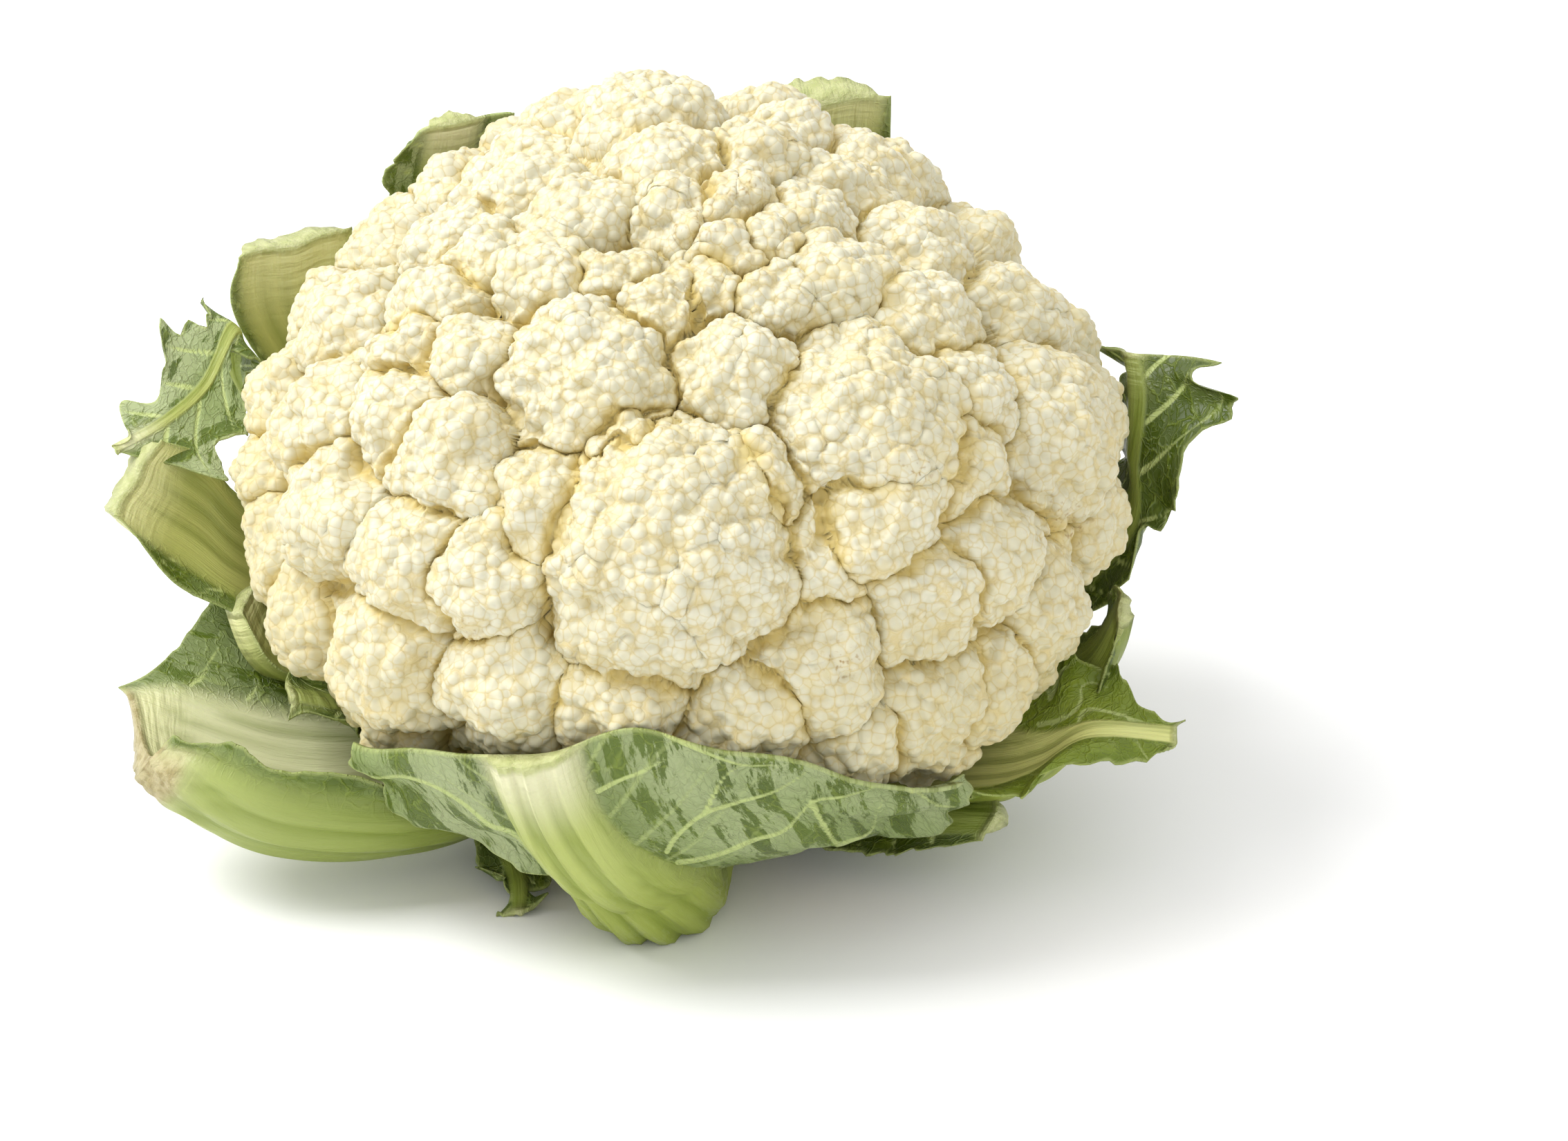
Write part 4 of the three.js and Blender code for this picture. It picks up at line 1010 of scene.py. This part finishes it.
def build_leaf(name, leaf, material, seed):
    grid, offset, shares, length, out_share, rib_edge, edge_distance = leaf_sheet(leaf, seed)
    thick = np.maximum(spline(leaf["thick"], shares[:, 0]), BLADE)[:, None]
    beyond = np.abs(offset) - rib_edge
    vein = vein_height(leaf, grid, offset, length, out_share, seed) * smooth_step(-1, 1.5, beyond)

    normals = grid_normals(grid)
    row, column = int(0.35 * len(grid)), grid.shape[1] // 2
    inwards = normals[row, column] @ (grid[row, column] - CENTRE) < 0
    if inwards:
        normals = -normals
    t = np.clip(np.abs(offset) / np.maximum(rib_edge, 0.1), 0, 1)
    profile = (1 - t**2) ** 0.7
    ridges = 0
    for height, rate, sway, own in RIDGES:
        ridges = ridges + height * np.sin(offset * rate + sway * wavelets(length / 15, seed + own)) * profile
    thin = 0.45 + 0.55 * smooth_step(0, 2.5, edge_distance)
    thickness = BLADE * thin + (thick - BLADE) * profile
    frill = 0.25 * leaf["ragged"] * wavelets(length / 2.6, seed + 8) * out_share**3
    pucker = 0.35 * wavelets(length / 3.5 + offset / 5, seed + 9) * out_share
    crinkle = 0.25 * wavelets(length / 1.4, seed + 11) * wavelets(offset / 1.3, seed + 13) * out_share
    relief = pucker + frill + crinkle
    soft = unit(blurred(blurred(normals, 10, 6), 10, 6))
    inner = grid + normals * (relief + 0.25 * vein)[..., None]
    outer = grid + normals * (relief + 0.4 * vein + ridges)[..., None] + soft * thickness[..., None]

    whole = np.ones(offset.shape)
    rib_mask = smooth_step(0.2, -0.15, beyond / np.maximum(rib_edge, 1))
    end_distance = (length[-1] - length) * whole
    cut = smooth_step(1.6, 0.4, end_distance) * smooth_step(3, -1, beyond)
    torn_reach = leaf["torn"] * (1 + 0.4 * wavelets(offset / 2, seed + 15))
    torn = smooth_step(1.0, 0.6, end_distance / np.maximum(torn_reach, 0.1)) * smooth_step(2, -4, beyond)
    pairs = {
        "place": (outer, inner),
        "cut": (np.maximum(cut, torn), cut),
        "inside": (0 * whole, whole),
    }
    alike = {
        "rib": rib_mask,
        "vein": np.clip(vein, 0, 1),
        "margin": smooth_step(0.8, 0.1, np.minimum(edge_distance, end_distance)),
        "waxy": (0.6 + 0.4 * smooth_step(0.02, 0.2, out_share)) * whole,
        "pale": smooth_step(leaf["bleach"], 0, end_distance) * smooth_step(3, -2, beyond),
        "flat": np.stack([length * whole, offset, 0 * whole], -1) * MM,
        "along": shares * whole,
        # Painted shade in the rib's furrows.
        "furrow_shade": smooth_step(0.1, -0.5, ridges) * rib_mask,
    }
    pairs.update({field: (values, values) for field, values in alike.items()})

    # The face that shows is fine and the hidden one coarse.
    shows_outer = leaf["fine_face"] == "outer"
    fields = {field: on_faces(*pair[:: 1 if shows_outer else -1]) for field, pair in pairs.items()}
    points = fields.pop("place")
    points[:, 2] = np.maximum(points[:, 2], LEAST_HEIGHT)
    triangles = two_faces(offset.shape)
    if inwards == shows_outer:
        triangles = triangles[:, ::-1]
    add_piece(name + "_fine", name, "leaf", material, points, triangles, fields)


def build_leaves():
    dark = (0.04, 0.065, 0.001)
    green = (0.045, 0.075, 0.002)
    grass = (0.08, 0.125, 0.004)
    yellow_green = (0.20, 0.26, 0.02)
    rib = ((0.21, 0.265, 0.018), (0.38, 0.43, 0.12), (0.34, 0.38, 0.10), (0.66, 0.65, 0.42))
    stub_rib = ((0.28, 0.34, 0.05), (0.40, 0.44, 0.13), (0.48, 0.50, 0.15), (0.64, 0.64, 0.31))
    # The light look's inner side is pale yellow: partly its own colour, partly painted light where the curd
    # shades it.
    light_rib = ((0.25, 0.30, 0.04), (0.36, 0.42, 0.10), (0.68, 0.70, 0.26), (0.50, 0.54, 0.2))
    dry_rib = ((0.22, 0.28, 0.04), (0.32, 0.37, 0.11), (0.58, 0.59, 0.35), (0.50, 0.50, 0.26))
    dark_rib = ((0.14, 0.18, 0.012), (0.22, 0.27, 0.04), (0.24, 0.29, 0.06), (0.30, 0.34, 0.10))
    fresh_cut = ((0.56, 0.58, 0.28), (0.46, 0.49, 0.20))
    dry_cut = ((0.50, 0.44, 0.24), (0.34, 0.28, 0.12))
    looks = {
        "waxy": leaf_material("leaf_waxy", green, grass, 0.9, rib, fresh_cut),
        "dark": leaf_material("leaf_dark", dark, green, 0.1, dark_rib, fresh_cut),
        "stub": leaf_material("leaf_stub", green, grass, 0.3, stub_rib, fresh_cut),
        "light": leaf_material("leaf_light", grass, yellow_green, 0.1, light_rib, fresh_cut),
        "dry": leaf_material("leaf_dry", green, grass, 0.35, dry_rib, dry_cut),
    }
    for number, (name, leaf) in enumerate(LEAVES.items()):
        build_leaf(name, leaf, looks[leaf["look"]], 100 + 20 * number)


# The stalk.

SCARS = 9
SCAR_RISE = 3.1  # from one leaf scar to the next
SCAR_BEND = 0.035  # how much a scar's ends turn up, for each millimetre along it squared


def build_stalk():
    """The stalk with its crescent leaf scars and its level cut face."""
    around, rings = 120, 60
    length = HEAD_HEIGHT / math.cos(HEAD_TILT)
    heights = [-length - 20, -length + 6, -length + 22, -UNDERSIDE_DEPTH + 4]
    radii = [STALK_RADIUS - 2, STALK_RADIUS - 1, STALK_RADIUS + 1, STALK_RADIUS + 5]
    turn = np.linspace(0, 2 * math.pi, around, endpoint=False)
    low = -length - 16
    top = -UNDERSIDE_DEPTH + 6
    height = np.linspace(low, top, rings)[:, None]
    scar = np.zeros((rings, around))
    for k in range(SCARS):
        off = np.angle(np.exp(1j * (turn - k * GOLDEN_ANGLE))) * STALK_RADIUS
        up = height - (-length + 12 + SCAR_RISE * k) - SCAR_BEND * off**2
        scar = np.maximum(scar, np.exp(-((up / 1.8) ** 2)) * smooth_step(11, 7, np.abs(off)))
    radius = np.interp(height, heights, radii) - 0.9 + 0.9 * scar + 0.3 * np.sin(turn * 23 + 0.05 * height)
    base = radius[..., None] * (np.cos(turn)[:, None] * RIGHT + np.sin(turn)[:, None] * BACK)
    walls = CENTRE + base + height[..., None] * AXIS
    # The lowest rings slide up their own generators to the table, where the stalk is cut.
    below = np.maximum(0.02 - walls[..., 2], 0)
    walls = walls + (below / AXIS[2])[..., None] * AXIS
    foot = walls[0].mean(0)
    points = np.concatenate([walls.reshape(-1, 3), [foot, CENTRE + top * AXIS]])
    number = np.arange(rings * around).reshape(rings, around)
    following = np.roll(number, -1, 1)
    a, b, c, d = number[:-1], following[:-1], following[1:], number[1:]
    hubs = np.array([[rings * around], [rings * around + 1]]) + 0 * number[:2]
    caps = [(following[0], number[0], hubs[0]), (number[-1], following[-1], hubs[1])]
    corners = [(a, b, c), (a, c, d), *caps]
    triangles = np.concatenate([np.stack(three, -1).reshape(-1, 3) for three in corners])
    fields = {
        "scar": np.concatenate([scar.ravel(), [0, 0]]),
        "cut": smooth_step(1.0, 0.3, points[:, 2]),
    }
    add_piece("stalk_fine", "stalk", "stalk", stalk_material(), points, triangles, fields)


def aimed(name, data, place, way):
    """A light or camera that looks one way from its place."""
    made = bpy.data.objects.new(name, data)
    bpy.context.scene.collection.objects.link(made)
    made.location = place
    made.rotation_mode = "QUATERNION"
    made.rotation_quaternion = Vector(way).to_track_quat("-Z", "Y")
    return made


def area_light(name, place, target, size, power):
    data = bpy.data.lights.new(name, "AREA")
    data.size = size
    data.energy = power
    aimed(name, data, place, Vector(target) - Vector(place))


def build_stage():
    """A plain white floor, soft light from the upper left, and the camera at the viewpoint."""
    bpy.ops.mesh.primitive_plane_add(size=12, location=(0, 0, 0))
    floor = bpy.context.object
    floor.name = "floor"
    floor.data.materials.append(Nodes("floor_white").finish((0.92, 0.92, 0.92), 0.8))

    world = bpy.data.worlds.new("studio")
    bpy.context.scene.world = world
    world.use_nodes = True
    tree = world.node_tree
    background = tree.nodes["Background"]
    background.inputs["Color"].default_value = (1, 1, 1, 1)
    place = tree.nodes.new("ShaderNodeTexCoord")
    split = tree.nodes.new("ShaderNodeSeparateXYZ")
    rise = tree.nodes.new("ShaderNodeMapRange")
    tree.links.new(place.outputs["Generated"], split.inputs[0])
    tree.links.new(split.outputs["Z"], rise.inputs["Value"])
    for socket, value in {"From Min": -0.2, "From Max": 1, "To Min": 0.85, "To Max": 1.05}.items():
        rise.inputs[socket].default_value = value
    tree.links.new(rise.outputs[0], background.inputs["Strength"])

    area_light("key", (-0.9, 0.0, 1.2), (0, -0.03, 0.07), 0.9, 22)
    area_light("fill", (0.4, -1.4, 0.7), (0, -0.03, 0), 1.4, 4)

    camera = aimed("camera", bpy.data.cameras.new("camera"), EYE * MM, -TOWARDS)
    camera.data.sensor_width = 36
    camera.data.lens = 100
    camera.data.clip_end = 50
    bpy.context.scene.camera = camera
    bpy.context.scene.view_settings.view_transform = "Standard"


build_stage()
curd_pieces()
build_leaves()
build_stalk()
